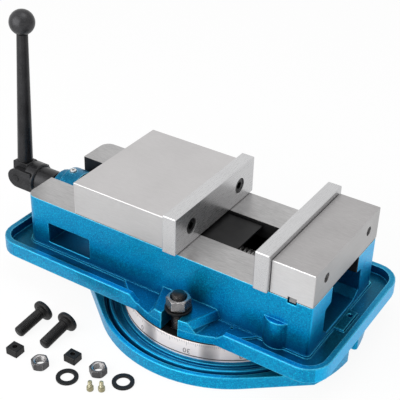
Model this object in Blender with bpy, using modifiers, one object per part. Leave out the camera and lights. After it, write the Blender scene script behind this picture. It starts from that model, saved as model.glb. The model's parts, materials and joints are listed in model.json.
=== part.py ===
"""Swivel milling vise: a cast bed with a coolant trough on a graduated swivel base, two jaws with
bolted plates, a screw with a folding crank, and the loose hardware that comes with it. Metres, +Z up,
+X from the crank to the fixed jaw. The origin is on the swivel axis, on the face that rests on the
machine table."""

import math

import bmesh
import bpy
from mathutils import Matrix, Vector

MM = 0.001
GAP = 0.3 * MM
OVERRUN = 6 * MM
WELD = 0.01 * MM

# Swivel base
BASE_RIM_WIDTH = 5.2 * MM
BASE_RIM_HEIGHT = 14.6 * MM
EAR_STAND_OUT = 17.2 * MM
EAR_HALF_ANGLE = math.radians(23.5)
DISC_MARGIN = 17.5 * MM
DISC_TOP = 31.7 * MM
DISC_EDGE = 0.6 * MM
GUTTER_BEYOND_RIDGE = 7 * MM
GUTTER_FLOOR = 7.5 * MM
STEP_WIDTH = 4.3 * MM
STEP_TOP = 10.8 * MM
RIDGE_BEYOND_STEP = 10.2 * MM
RIDGE_TOP = 13.8 * MM
RIDGE_HALF_WIDTH = 1.2 * MM
RIDGE_FOOT = 4 * MM
CLAMP_TO_WALL = 20.55 * MM
T_NECK_HALF_WIDTH = 7.75 * MM
T_HEAD_HALF_WIDTH = 14 * MM
T_HEAD_FLOOR = 10 * MM
T_HEAD_CEILING = 22 * MM
T_ENTRY_RADIUS = 13.2 * MM
T_ENTRY_ANGLE = math.radians(45)
EAR_SLOT_WIDTH = 17 * MM
EAR_SLOT_DEPTH = 18.6 * MM
EAR_SLOT_MOUTH_EDGE = 2.5 * MM

# Pivot pin between base and bed
PIVOT_RADIUS = 15 * MM
PIVOT_FLOOR = 6 * MM
PIVOT_DEPTH_IN_BED = 8.5 * MM
PIVOT_CHAMFER = 1 * MM

# Bed casting
BED_HEIGHT = 67 * MM
BED_LEFT_X = -214 * MM
BED_RIGHT_X = 134.6 * MM
BED_WIDTH = 142.9 * MM
BED_CORNER_RADIUS = 3 * MM
BED_LEFT_CORNER_RADIUS = 11.5 * MM
FLANGE_LEFT_X = -239.3 * MM
FLANGE_RIGHT_X = 160.3 * MM
FLANGE_BEYOND_CLAMP = 6.5 * MM
FLANGE_CORNER_RADIUS = 26 * MM
FLANGE_HEIGHT = 17 * MM
RIM_WIDTH = 6.8 * MM
TROUGH_FLOOR = 7.4 * MM
LEDGE_TOP = 10 * MM
LEDGE_WIDTH = 1.8 * MM
PAD_SETBACK = 0.8 * MM
PAD_TOP = 9.6 * MM
RIM_BREAK_HALF_LENGTH = 48 * MM
RIM_BREAK_SLOPE = 8 * MM
LUG_TOP = 20.5 * MM
LUG_TOP_HALF_WIDTH_AT_WALL = 33 * MM
LUG_TOP_HALF_WIDTH_AT_END = 18.8 * MM
LUG_FOOT_HALF_WIDTH_AT_WALL = 37.3 * MM
LUG_FOOT_HALF_WIDTH_AT_END = 30.9 * MM
LUG_SLOT_WIDTH = 19.6 * MM
LUG_SETBACK = 0.4 * MM
WAY_THICKNESS = 19.5 * MM
WAY_HALF_GAP = 28.6 * MM
WAY_UNDERCUT = 2.5 * MM
CHANNEL_HALF_WIDTH = 40 * MM
CHANNEL_FLOOR = 12 * MM
CHANNEL_CHAMFER_HEIGHT = 7 * MM
CHANNEL_CHAMFER_WIDTH = 9 * MM
WINDOW_LEFT_X = -184.3 * MM
WINDOW_RIGHT_X = -128.7 * MM
WINDOW_BOTTOM = 15.5 * MM
WINDOW_TOP = 39.7 * MM
BOSS_X = 98 * MM
BOSS_RADIUS = 16 * MM
BOSS_STAND_OUT = 6.3 * MM
BOSS_TOP = 37.2 * MM
DRAIN_X = 141.3 * MM
DRAIN_Y = 8.3 * MM
DRAIN_RADIUS = 2.4 * MM
SPECK_X = 53 * MM
SPECK_Y = -76.2 * MM
SPECK_RADIUS = 1.2 * MM
SILL_HALF_WIDTH = 17 * MM
SILL_LENGTH = 12 * MM

# Screw, its bearing and its nut
SCREW_DROP = 31.6 * MM
SCREW_RADIUS = 12 * MM
SCREW_RIGHT_X = 45 * MM
SCREW_CHAMFER = 2 * MM
JOURNAL_RADIUS = 11 * MM
SHOULDER_RADIUS = 16 * MM
SHOULDER_LENGTH = 4.4 * MM
RUNNING_GAP = 0.3 * MM
HEX_ACROSS_FLATS = 17 * MM
HEX_LENGTH = 19 * MM
HOUSING_LEFT_X = -214 * MM
HOUSING_RIGHT_X = -192 * MM
HOUSING_RADIUS = 28.2 * MM
HOUSING_CHAMFER = 1.5 * MM
HOUSING_SCREW_X = -206.5 * MM
THRUST_RADIUS = 19 * MM
THRUST_LENGTH = 5 * MM
COLLAR_RADIUS = 14.5 * MM
CAP_RADIUS = 22.3 * MM
CAP_LEFT_X = -225.3 * MM
CAP_EDGE = 1 * MM
NUT_LEFT_X = -100 * MM
NUT_RIGHT_X = -52 * MM
NUT_HALF_WIDTH = 37 * MM
NUT_HEIGHT_BELOW = 15.5 * MM
NUT_HEIGHT_ABOVE = 9.1 * MM
NUT_NECK_HALF_WIDTH = 27 * MM
HORN_HALF_WIDTH = 13 * MM
HORN_LEFT_X = -98 * MM
HORN_TOP_ABOVE_WAYS = 7 * MM
LOCK_X = -74 * MM
LOCK_ABOVE_WAYS = -1.5 * MM
LOCK_RADIUS = 12 * MM

# Jaws and jaw plates
JAW_WIDTH = 142.9 * MM
PLATE_WIDTH = 152.4 * MM
PLATE_THICKNESS = 15.7 * MM
PLATE_HEIGHT = 43 * MM
PLATE_LIFT = 0.4 * MM
PLATE_EDGE = 0.8 * MM
MOVABLE_LEFT_X = -146.4 * MM
MOVABLE_FACE_X = -15.7 * MM
MOVABLE_HEIGHT = 37.8 * MM
TONGUE_LEFT_X = -122 * MM
TONGUE_DEPTH = 15 * MM
TONGUE_SIDE_GAP = 0.4 * MM
TONGUE_FRONT_SETBACK = 6.3 * MM
FIXED_FACE_X = 72.6 * MM
FIXED_RIGHT_X = 134.4 * MM
FIXED_HEIGHT = 37 * MM
BLOCK_EDGE = 0.6 * MM
PLATE_SCREW_TO_JAW_BOLT = 15.05 * MM
PLATE_SCREW_HEIGHT = 21.3 * MM
PLATE_SCREW_RADIUS = 4.7 * MM
PLATE_SCREW_HOLE_RADIUS = 5.1 * MM
PLATE_SCREW_LENGTH = 24 * MM
PLATE_SCREW_HEAD_RADIUS = 8 * MM
PLATE_SCREW_HEAD_LENGTH = 8.6 * MM
PLATE_SCREW_HEX = 8 * MM
PLATE_SCREW_HEX_DEPTH = 5 * MM
COUNTERBORE_RADIUS = 8.7 * MM
COUNTERBORE_DEPTH = 9.8 * MM
BLOCK_HOLE_DEPTH = 28 * MM
KEY_LEFT_X = 108 * MM
KEYWAY_WIDTH = 9.4 * MM
KEYWAY_DEPTH = 4 * MM
KEYWAY_RISE = 3.4 * MM
KEY_INNER_Y = 32.6 * MM
KEYWAY_INNER_Y = 31.8 * MM
KEY_SETBACK = 0.3 * MM
JAW_BOLT_RADIUS = 6 * MM
JAW_BOLT_HOLE_RADIUS = 6.4 * MM
JAW_BOLT_HEAD_RADIUS = 9 * MM
JAW_BOLT_HEAD_LENGTH = 10 * MM
JAW_BOLT_BORE_RADIUS = 10 * MM
JAW_BOLT_BORE_DEPTH = 20 * MM
JAW_BOLT_REACH = 21 * MM
GUARD_RIGHT_X = 25.4 * MM
GUARD_HALF_WIDTH = 26.5 * MM
GUARD_THICKNESS = 2.5 * MM
GUARD_DROP = 3.2 * MM

# Bearing housing screw
SMALL_SCREW_HEAD_RADIUS = 3.7 * MM
SMALL_SCREW_HEAD_LENGTH = 3 * MM
SMALL_SCREW_RADIUS = 2.1 * MM
SMALL_SCREW_LENGTH = 7 * MM
SMALL_SCREW_HEX = 3 * MM
SMALL_SCREW_HEX_DEPTH = 1.8 * MM
SMALL_SCREW_SEAT_DROP = 1.6 * MM

# Crank
CRANK_LEAN = math.radians(4.15)
CRANK_PIN_X = -280.4 * MM
HUB_RADIUS = 16 * MM
HUB_RIGHT_X = -231.5 * MM
BARREL_RADIUS = 18.6 * MM
BARREL_RIGHT_X = -254.5 * MM
BARREL_CHAMFER = 1.5 * MM
FORK_HALF_WIDTH = 17.3 * MM
FORK_RADIUS = 12 * MM
FORK_SLOT_HALF_WIDTH = 9.3 * MM
FORK_ROOT_DISTANCE = 11.6 * MM
FORK_FLAT_LENGTH = 10.6 * MM
PIN_RADIUS = 4 * MM
PIN_STAND_OUT = 0.5 * MM
KNUCKLE_RADIUS = 10.8 * MM
KNUCKLE_HALF_WIDTH = 9 * MM
KNUCKLE_HEIGHT = 17.8 * MM
KNUCKLE_EDGE = 1.2 * MM
ROD_BOTTOM_RADIUS = 8.4 * MM
ROD_TOP_RADIUS = 6 * MM
BALL_RADIUS = 14.6 * MM
BALL_HEIGHT = 185.7 * MM
BALL_SEAT_RADIUS = 6.2 * MM

# Clamping hardware of the bed
CLAMP_BOLT_RADIUS = 7 * MM
CLAMP_HEAD_WIDTH = 24 * MM
CLAMP_HEAD_HEIGHT = 8.6 * MM
CLAMP_HEAD_GAP = 0.3 * MM
CLAMP_BOLT_ABOVE_NUT = 1.8 * MM
CLAMP_BOLT_CHAMFER = 1.2 * MM
CLAMP_WASHER_RADIUS = 14 * MM
CLAMP_WASHER_HOLE_RADIUS = 7.4 * MM
CLAMP_WASHER_THICKNESS = 2.5 * MM
CLAMP_NUT_WIDTH = 22 * MM
CLAMP_NUT_HEIGHT = 12 * MM

# Loose hardware on the floor beside the base
TABLE_BOLT_RADIUS = 5.6 * MM
TABLE_BOLT_LENGTH = 35.3 * MM
TABLE_BOLT_HEAD_RADIUS = 11.6 * MM
TABLE_BOLT_HEAD_THICKNESS = 5 * MM
TABLE_BOLT_ONE_X = -142.3 * MM
TABLE_BOLT_ONE_Y = -130.5 * MM
TABLE_BOLT_ONE_TURN = math.radians(-4.3)
TABLE_BOLT_TWO_X = -110.2 * MM
TABLE_BOLT_TWO_Y = -130.2 * MM
TABLE_BOLT_TWO_TURN = math.radians(-2.4)
TABLE_NUT_WIDTH = 16.3 * MM
TABLE_NUT_HEIGHT = 10 * MM
TABLE_NUT_HOLE_RADIUS = 5.2 * MM
TABLE_NUT_ONE_X = -98 * MM
TABLE_NUT_ONE_Y = -191.3 * MM
TABLE_NUT_TWO_X = -44.2 * MM
TABLE_NUT_TWO_Y = -166.8 * MM
TABLE_NUT_TURN = math.radians(-4)
TABLE_WASHER_RADIUS = 11.3 * MM
TABLE_WASHER_HOLE_RADIUS = 6.8 * MM
TABLE_WASHER_THICKNESS = 2.4 * MM
TABLE_WASHER_ONE_X = -65 * MM
TABLE_WASHER_ONE_Y = -189.5 * MM
TABLE_WASHER_TWO_X = -15.7 * MM
TABLE_WASHER_TWO_Y = -164 * MM
TABLE_KEY_LENGTH = 13.9 * MM
TABLE_KEY_WIDTH = 12.8 * MM
TABLE_KEY_HEIGHT = 8.6 * MM
TABLE_KEY_HOLE_RADIUS = 2.5 * MM
TABLE_KEY_ONE_X = -131.2 * MM
TABLE_KEY_ONE_Y = -190.6 * MM
TABLE_KEY_TWO_X = -76.7 * MM
TABLE_KEY_TWO_Y = -166.4 * MM
TABLE_KEY_EDGE = 0.6 * MM
KEY_SCREW_HEAD_RADIUS = 3.5 * MM
KEY_SCREW_HEAD_LENGTH = 4.4 * MM
KEY_SCREW_RADIUS = 2.2 * MM
KEY_SCREW_LENGTH = 6.6 * MM
KEY_SCREW_HEX = 3.4 * MM
KEY_SCREW_HEX_DEPTH = 2 * MM
KEY_SCREW_ONE_X = -36.2 * MM
KEY_SCREW_ONE_Y = -189.8 * MM
KEY_SCREW_TWO_X = -26.6 * MM
KEY_SCREW_TWO_Y = -184.2 * MM

# Counts of facets
FINE_STEPS = 80
FOOT_STEPS = 20
EAR_STEPS = 12
ROUND_STEPS = 48
KNOB_STEPS = 32
SMALL_STEPS = 24
TINY_STEPS = 16
CORNER_STEPS = 6

# Places that follow from the sizes above
CLAMP_RADIUS = BED_WIDTH / 2 + CLAMP_TO_WALL
FLANGE_WIDTH = 2 * (CLAMP_RADIUS + FLANGE_BEYOND_CLAMP)
DISC_RADIUS = CLAMP_RADIUS + DISC_MARGIN
PAD_RADIUS = DISC_RADIUS - PAD_SETBACK
STEP_RADIUS = DISC_RADIUS + STEP_WIDTH
RIDGE_RADIUS = STEP_RADIUS + RIDGE_BEYOND_STEP
GUTTER_OUTER_RADIUS = RIDGE_RADIUS + GUTTER_BEYOND_RIDGE
BASE_RADIUS = GUTTER_OUTER_RADIUS + BASE_RIM_WIDTH
EAR_RADIUS = BASE_RADIUS + EAR_STAND_OUT
EAR_SLOT_ROOT_X = EAR_RADIUS - EAR_SLOT_DEPTH
BED_BOTTOM = DISC_TOP + GAP
WAY_TOP = BED_BOTTOM + BED_HEIGHT
WAY_UNDERSIDE = WAY_TOP - WAY_THICKNESS
RIM_TOP = BED_BOTTOM + FLANGE_HEIGHT
SCREW_Z = WAY_TOP - SCREW_DROP
JAW_BOTTOM = WAY_TOP + GAP
PLATE_SCREW_Z = WAY_TOP + PLATE_SCREW_HEIGHT
MOVABLE_BACK_X = MOVABLE_FACE_X - PLATE_THICKNESS
MOVABLE_BLOCK_RIGHT_X = MOVABLE_BACK_X - GAP
FIXED_BACK_X = FIXED_FACE_X + PLATE_THICKNESS
FIXED_BLOCK_LEFT_X = FIXED_BACK_X + GAP
TONGUE_RIGHT_X = MOVABLE_BACK_X - TONGUE_FRONT_SETBACK
TONGUE_BOTTOM = WAY_TOP - TONGUE_DEPTH
SHOULDER_RIGHT_X = HOUSING_RIGHT_X + GAP + THRUST_LENGTH + GAP + SHOULDER_LENGTH
LUG_SEAT = BED_BOTTOM + LUG_TOP
BOSS_Y = BED_WIDTH / 2 + BOSS_STAND_OUT - BOSS_RADIUS
PLATE_SCREW_Y = BOSS_Y - PLATE_SCREW_TO_JAW_BOLT

BLUE = (0.0, 0.22, 0.56, 1)
GROUND_STEEL = (0.55, 0.55, 0.55, 1)
DARK_STEEL = (0.03, 0.03, 0.035, 1)
NUT_STEEL = (0.3, 0.3, 0.3, 1)
PALE_BRASS = (0.62, 0.52, 0.3, 1)

for old in list(bpy.data.objects):
    bpy.data.objects.remove(old, do_unlink=True)

parts = bpy.data.collections.new("milling_vise")
cutters = bpy.data.collections.new("cutters")
bpy.context.scene.collection.children.link(parts)
bpy.context.scene.collection.children.link(cutters)


def material(name, colour, roughness, metallic):
    made = bpy.data.materials.new(name)
    made.use_nodes = True
    shader = made.node_tree.nodes["Principled BSDF"]
    shader.inputs["Base Color"].default_value = colour
    shader.inputs["Roughness"].default_value = roughness
    shader.inputs["Metallic"].default_value = metallic
    return made


def finish(obj, look=None, smooth=True):
    """Puts the object among the parts with a material of its own, or among the cutters if it gets none."""
    if smooth:
        obj.data.shade_smooth()
        obj.data.set_sharp_from_angle(angle=math.radians(35))
    if look is None:
        cutters.objects.link(obj)
        obj.hide_render = True
        obj.display_type = "WIRE"
        return obj
    parts.objects.link(obj)
    obj.data.materials.append(material(obj.name + "_look", *look))
    return obj


def box(name, low, high, look=None):
    low, high = Vector(low), Vector(high)
    size = high - low
    bm = bmesh.new()
    bmesh.ops.create_cube(bm, size=1, matrix=Matrix.Diagonal((*size, 1)))
    mesh = bpy.data.meshes.new(name)
    bm.to_mesh(mesh)
    bm.free()
    obj = bpy.data.objects.new(name, mesh)
    obj.location = (low + high) / 2
    return finish(obj, look, smooth=False)


def rod(name, radius, start, length, axis="Z", steps=ROUND_STEPS, look=None, top_radius=None):
    """A cylinder or cone from start along +axis. Its origin is at start."""
    bm = bmesh.new()
    bmesh.ops.create_cone(
        bm,
        cap_ends=True,
        segments=steps,
        radius1=radius,
        radius2=radius if top_radius is None else top_radius,
        depth=length,
        matrix=Matrix.Translation((0, 0, length / 2)),
    )
    mesh = bpy.data.meshes.new(name)
    bm.to_mesh(mesh)
    bm.free()
    obj = bpy.data.objects.new(name, mesh)
    obj.location = start
    if axis == "X":
        obj.rotation_euler = (0, math.pi / 2, 0)
    if axis == "Y":
        obj.rotation_euler = (-math.pi / 2, 0, 0)
    return finish(obj, look)


def hex_prism(name, across_flats, start, length, axis="Z", look=None, turn=0.0):
    obj = rod(name, across_flats / math.sqrt(3), start, length, axis, 6, look)
    obj.data.transform(Matrix.Rotation(turn, 4, "Z"))
    return obj


def turned(name, profile, centre, axis="Z", steps=ROUND_STEPS, look=None):
    """A profile of (radius, height) points, from the inside at the top down the outer side, spun round."""
    mesh = bpy.data.meshes.new(name)
    bm = bmesh.new()
    points = [bm.verts.new((radius, 0, height)) for radius, height in profile]
    for first, second in zip(points, points[1:]):
        bm.edges.new((first, second))
    bmesh.ops.spin(
        bm,
        geom=bm.verts[:] + bm.edges[:],
        cent=(0, 0, 0),
        axis=(0, 0, 1),
        angle=2 * math.pi,
        steps=steps,
        use_merge=True,
    )
    bmesh.ops.remove_doubles(bm, verts=bm.verts, dist=WELD)
    bmesh.ops.recalc_face_normals(bm, faces=bm.faces)
    bm.to_mesh(mesh)
    bm.free()
    obj = bpy.data.objects.new(name, mesh)
    obj.location = centre
    if axis == "X":
        obj.rotation_euler = (0, math.pi / 2, 0)
    if axis == "Y":
        obj.rotation_euler = (-math.pi / 2, 0, 0)
    return finish(obj, look)


def ring_profile(inner, outer, low, high, edge=0):
    """The closed profile of a ring, with chamfered outer edges when edge is given."""
    if edge:
        outside = [(outer - edge, high), (outer, high - edge), (outer, low + edge), (outer - edge, low)]
    else:
        outside = [(outer, high), (outer, low)]
    return [(inner, high), *outside, (inner, low), (inner, high)]


def disc_profile(radius, low, high, edge=0):
    """The profile of a plain turned disc that reaches its axis."""
    if edge:
        outside = [(radius - edge, high), (radius, high - edge), (radius, low + edge), (radius - edge, low)]
    else:
        outside = [(radius, high), (radius, low)]
    return [(0, high), *outside, (0, low)]


def outline(name, points, low, high, look=None, plane="XY"):
    """A flat outline as a filled 2D curve, extruded from low to high. In the XZ plane it runs along Y."""
    curve = bpy.data.curves.new(name + "_curve", "CURVE")
    curve.dimensions = "2D"
    curve.fill_mode = "BOTH"
    curve.extrude = (high - low) / 2
    spline = curve.splines.new("POLY")
    spline.points.add(len(points) - 1)
    for place, (first, second) in zip(spline.points, points):
        place.co = (first, second, 0, 1)
    spline.use_cyclic_u = True
    guide = bpy.data.objects.new(name + "_guide", curve)
    bpy.context.scene.collection.objects.link(guide)
    graph = bpy.context.evaluated_depsgraph_get()
    mesh = bpy.data.meshes.new_from_object(guide.evaluated_get(graph))
    mesh.name = name
    bpy.data.objects.remove(guide, do_unlink=True)
    bm = bmesh.new()
    bm.from_mesh(mesh)
    bmesh.ops.remove_doubles(bm, verts=bm.verts, dist=WELD)
    bmesh.ops.recalc_face_normals(bm, faces=bm.faces)
    bm.to_mesh(mesh)
    bm.free()
    obj = bpy.data.objects.new(name, mesh)
    if plane == "XZ":
        obj.rotation_euler = (math.pi / 2, 0, 0)
        obj.location = (0, (low + high) / 2, 0)
    elif plane == "YZ":
        obj.rotation_euler = (math.pi / 2, 0, math.pi / 2)
        obj.location = ((low + high) / 2, 0, 0)
    else:
        obj.location = (0, 0, (low + high) / 2)
    return finish(obj, look, smooth=False)


def boolean(obj, other, operation):
    step = obj.modifiers.new(operation.title() + " " + other.name, "BOOLEAN")
    step.operation = operation
    step.solver = "EXACT"
    step.object = other


def cut(obj, *others):
    for other in others:
        boolean(obj, other, "DIFFERENCE")


def join(obj, *others):
    for other in others:
        boolean(obj, other, "UNION")


def bevel(obj, width, segments=1):
    step = obj.modifiers.new("Bevel", "BEVEL")
    step.width = width
    step.segments = segments
    step.limit_method = "ANGLE"
    step.angle_limit = math.radians(40)
    step.use_clamp_overlap = True


def empty(name, location, parent=None):
    obj = bpy.data.objects.new(name, None)
    obj.location = location
    obj.empty_display_size = BALL_RADIUS
    parts.objects.link(obj)
    if parent:
        attach(parent, obj)
    return obj


def attach(parent, *children):
    """Makes the children follow the parent from where they stand."""
    bpy.context.view_layer.update()
    for child in children:
        child.parent = parent
        child.matrix_parent_inverse = parent.matrix_world.inverted()


def arc(centre_x, centre_y, radius, start, end, steps):
    turns = (start + (end - start) * step / steps for step in range(steps + 1))
    return [(centre_x + radius * math.cos(turn), centre_y + radius * math.sin(turn)) for turn in turns]


def rounded_rectangle(left, right, near, far, radii):
    """Points of a rectangle with four corner radii: near-right, far-right, far-left and near-left."""
    quarter = math.pi / 2
    corners = [
        (right - radii[0], near + radii[0], radii[0], -quarter),
        (right - radii[1], far - radii[1], radii[1], 0),
        (left + radii[2], far - radii[2], radii[2], quarter),
        (left + radii[3], near + radii[3], radii[3], 2 * quarter),
    ]
    points = []
    for x, y, radius, start in corners:
        points += arc(x, y, radius, start, start + quarter, CORNER_STEPS)
    return points


CAST_BLUE = (BLUE, 0.35, 0.3)
MACHINED = (GROUND_STEEL, 0.35, 0.9)
BLACK = (DARK_STEEL, 0.45, 0.6)
STEEL = (NUT_STEEL, 0.35, 0.9)
BRASS = (PALE_BRASS, 0.3, 0.9)


# Swivel base: an oval foot with a gutter, and the graduated disc with its ring-shaped T slot
# The foot is a circle with two wider ears along X, whose straight sides run on from the circle
foot_turn = EAR_HALF_ANGLE + math.acos(BASE_RADIUS / EAR_RADIUS)
foot_outline = []
for start in (0, math.pi):
    foot_outline += arc(0, 0, EAR_RADIUS, start - EAR_HALF_ANGLE, start + EAR_HALF_ANGLE, EAR_STEPS)
    foot_outline += arc(0, 0, BASE_RADIUS, start + foot_turn, start + math.pi - foot_turn, FOOT_STEPS)
swivel_base = outline("swivel_base", foot_outline, 0, BASE_RIM_HEIGHT, CAST_BLUE)
gutter_inner = DISC_RADIUS - OVERRUN
gutter = turned(
    "gutter_cutter",
    [
        (gutter_inner, BASE_RIM_HEIGHT + OVERRUN),
        (GUTTER_OUTER_RADIUS, BASE_RIM_HEIGHT + OVERRUN),
        (GUTTER_OUTER_RADIUS, GUTTER_FLOOR),
        (RIDGE_RADIUS + RIDGE_FOOT, GUTTER_FLOOR),
        (RIDGE_RADIUS + RIDGE_HALF_WIDTH, RIDGE_TOP),
        (RIDGE_RADIUS - RIDGE_HALF_WIDTH, RIDGE_TOP),
        (RIDGE_RADIUS - RIDGE_FOOT, GUTTER_FLOOR),
        (STEP_RADIUS, GUTTER_FLOOR),
        (STEP_RADIUS, STEP_TOP),
        (gutter_inner, STEP_TOP),
        (gutter_inner, BASE_RIM_HEIGHT + OVERRUN),
    ],
    (0, 0, 0),
    steps=FINE_STEPS,
)
disc = turned(
    "disc_body",
    [
        (0, PIVOT_FLOOR),
        (PIVOT_RADIUS + RUNNING_GAP, PIVOT_FLOOR),
        (PIVOT_RADIUS + RUNNING_GAP, DISC_TOP),
        (CLAMP_RADIUS - T_NECK_HALF_WIDTH, DISC_TOP),
        (CLAMP_RADIUS - T_NECK_HALF_WIDTH, T_HEAD_CEILING),
        (CLAMP_RADIUS - T_HEAD_HALF_WIDTH, T_HEAD_CEILING),
        (CLAMP_RADIUS - T_HEAD_HALF_WIDTH, T_HEAD_FLOOR),
        (CLAMP_RADIUS + T_HEAD_HALF_WIDTH, T_HEAD_FLOOR),
        (CLAMP_RADIUS + T_HEAD_HALF_WIDTH, T_HEAD_CEILING),
        (CLAMP_RADIUS + T_NECK_HALF_WIDTH, T_HEAD_CEILING),
        (CLAMP_RADIUS + T_NECK_HALF_WIDTH, DISC_TOP),
        (DISC_RADIUS - DISC_EDGE, DISC_TOP),
        (DISC_RADIUS, DISC_TOP - DISC_EDGE),
        (DISC_RADIUS, PIVOT_FLOOR / 2),
        (0, PIVOT_FLOOR / 2),
    ],
    (0, 0, 0),
    steps=FINE_STEPS,
)
# The foot is opened under the disc first, so that the disc's hollows stay open
disc_hollow = rod(
    "disc_hollow_cutter",
    DISC_RADIUS - OVERRUN / 2,
    (0, 0, PIVOT_FLOOR * 0.75),
    DISC_TOP,
    steps=FINE_STEPS,
)
entry_x = CLAMP_RADIUS * math.cos(T_ENTRY_ANGLE)
entry_y = CLAMP_RADIUS * math.sin(T_ENTRY_ANGLE)
entry_place = (entry_x, entry_y, T_HEAD_FLOOR + GAP)
t_entry = rod("t_entry_cutter", T_ENTRY_RADIUS, entry_place, DISC_TOP, steps=SMALL_STEPS)
slot_half = EAR_SLOT_WIDTH / 2
cut(swivel_base, gutter, disc_hollow)
join(swivel_base, disc)
cut(swivel_base, t_entry)
mouth_x = EAR_RADIUS * math.cos(math.asin(slot_half / EAR_RADIUS))
mouth_half = slot_half + EAR_SLOT_MOUTH_EDGE + OVERRUN
for name, turn in (("right", 0), ("left", math.pi)):
    side = math.cos(turn)
    slot_points = [
        *arc(
            side * EAR_SLOT_ROOT_X,
            0,
            slot_half,
            turn + math.pi / 2,
            turn + 3 * math.pi / 2,
            CORNER_STEPS * 2,
        ),
        (side * (mouth_x - EAR_SLOT_MOUTH_EDGE), -side * slot_half),
        (side * (mouth_x + OVERRUN), -side * mouth_half),
        (side * (mouth_x + OVERRUN), side * mouth_half),
        (side * (mouth_x - EAR_SLOT_MOUTH_EDGE), side * slot_half),
    ]
    slot = outline("ear_slot_cutter_" + name, slot_points, -OVERRUN, BASE_RIM_HEIGHT + OVERRUN)
    cut(swivel_base, slot)

# Pivot pin, pressed into the bed and turning in the base
pivot_bottom = PIVOT_FLOOR + GAP
pivot_top = BED_BOTTOM + PIVOT_DEPTH_IN_BED - GAP
centre_pivot = turned(
    "centre_pivot",
    disc_profile(PIVOT_RADIUS, pivot_bottom, pivot_top, PIVOT_CHAMFER),
    (0, 0, 0),
    steps=SMALL_STEPS,
    look=STEEL,
)

# Bed casting: trough, walls, ways and clamping lugs
half_flange = FLANGE_WIDTH / 2
half_bed = BED_WIDTH / 2
flange_points = rounded_rectangle(
    FLANGE_LEFT_X, FLANGE_RIGHT_X, -half_flange, half_flange, [FLANGE_CORNER_RADIUS] * 4
)
vise_body = outline("vise_body", flange_points, BED_BOTTOM, RIM_TOP, CAST_BLUE)
trough_points = rounded_rectangle(
    FLANGE_LEFT_X + RIM_WIDTH,
    FLANGE_RIGHT_X - RIM_WIDTH,
    -half_flange + RIM_WIDTH,
    half_flange - RIM_WIDTH,
    [FLANGE_CORNER_RADIUS - RIM_WIDTH] * 4,
)
trough_floor = BED_BOTTOM + TROUGH_FLOOR
trough = outline("trough_cutter", trough_points, trough_floor, RIM_TOP + OVERRUN)
pad_top = BED_BOTTOM + PAD_TOP
break_top = RIM_BREAK_HALF_LENGTH + RIM_BREAK_SLOPE
break_rise = RIM_TOP - pad_top
break_spread = RIM_BREAK_SLOPE * (break_rise + OVERRUN) / break_rise
rim_breaks = []
for side, name in ((-1, "near"), (1, "far")):
    inner = side * (half_flange - RIM_WIDTH - OVERRUN)
    outer = side * (half_flange + OVERRUN)
    rim_breaks.append(
        outline(
            "rim_break_cutter_" + name,
            [
                (-RIM_BREAK_HALF_LENGTH, pad_top),
                (RIM_BREAK_HALF_LENGTH, pad_top),
                (RIM_BREAK_HALF_LENGTH + break_spread, RIM_TOP + OVERRUN),
                (-RIM_BREAK_HALF_LENGTH - break_spread, RIM_TOP + OVERRUN),
            ],
            min(inner, outer),
            max(inner, outer),
            plane="XZ",
        )
    )
round_pad = rod("round_pad_body", PAD_RADIUS, (0, 0, BED_BOTTOM), PAD_TOP, steps=FINE_STEPS)
wall_radii = [BED_CORNER_RADIUS, BED_CORNER_RADIUS, BED_LEFT_CORNER_RADIUS, BED_LEFT_CORNER_RADIUS]
walls = outline(
    "walls_body",
    rounded_rectangle(BED_LEFT_X, BED_RIGHT_X, -half_bed, half_bed, wall_radii),
    (BED_BOTTOM + trough_floor) / 2,
    WAY_TOP,
)
ledge = outline(
    "ledge_body",
    rounded_rectangle(
        BED_LEFT_X - LEDGE_WIDTH,
        BED_RIGHT_X + LEDGE_WIDTH,
        -half_bed - LEDGE_WIDTH,
        half_bed + LEDGE_WIDTH,
        [radius + LEDGE_WIDTH for radius in wall_radii],
    ),
    (BED_BOTTOM + trough_floor) / 2 + GAP,
    BED_BOTTOM + LEDGE_TOP,
)
sill = box(
    "sill_body",
    (BED_RIGHT_X - OVERRUN, -SILL_HALF_WIDTH, BED_BOTTOM + TROUGH_FLOOR / 2 + 2 * GAP),
    (BED_RIGHT_X + SILL_LENGTH, SILL_HALF_WIDTH, BED_BOTTOM + LEDGE_TOP - GAP),
)
cut(vise_body, trough, *rim_breaks)
join(vise_body, round_pad, walls, ledge, sill)
lug_radius = PAD_RADIUS - LUG_SETBACK
lug_round = rod("lug_round_cutter", lug_radius, (0, 0, 0), WAY_TOP, steps=FINE_STEPS)
for side, name in ((-1, "near"), (1, "far")):
    wall_y = side * (half_bed - GAP)
    end_y = side * (lug_radius + GAP)
    lug = outline(
        "lug_body_" + name,
        [
            (-LUG_FOOT_HALF_WIDTH_AT_WALL, wall_y),
            (LUG_FOOT_HALF_WIDTH_AT_WALL, wall_y),
            (LUG_FOOT_HALF_WIDTH_AT_END, end_y),
            (-LUG_FOOT_HALF_WIDTH_AT_END, end_y),
        ],
        BED_BOTTOM + PAD_TOP / 2,
        LUG_SEAT,
    )
    for corner in lug.data.vertices:
        if corner.co.z > 0:
            at_wall = abs(corner.co.y) < half_bed
            half_top = LUG_TOP_HALF_WIDTH_AT_WALL if at_wall else LUG_TOP_HALF_WIDTH_AT_END
            corner.co.x = math.copysign(half_top, corner.co.x)
    boolean(lug, lug_round, "INTERSECT")
    boss = rod(
        "boss_body_" + name,
        BOSS_RADIUS,
        (BOSS_X, side * BOSS_Y, BED_BOTTOM + TROUGH_FLOOR / 2 + 3 * GAP),
        BOSS_TOP - TROUGH_FLOOR / 2,
    )
    join(vise_body, lug, boss)
channel_top = WAY_TOP + OVERRUN
channel_wide_bottom = BED_BOTTOM + CHANNEL_FLOOR + CHANNEL_CHAMFER_HEIGHT
channel_floor = BED_BOTTOM + CHANNEL_FLOOR
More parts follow.
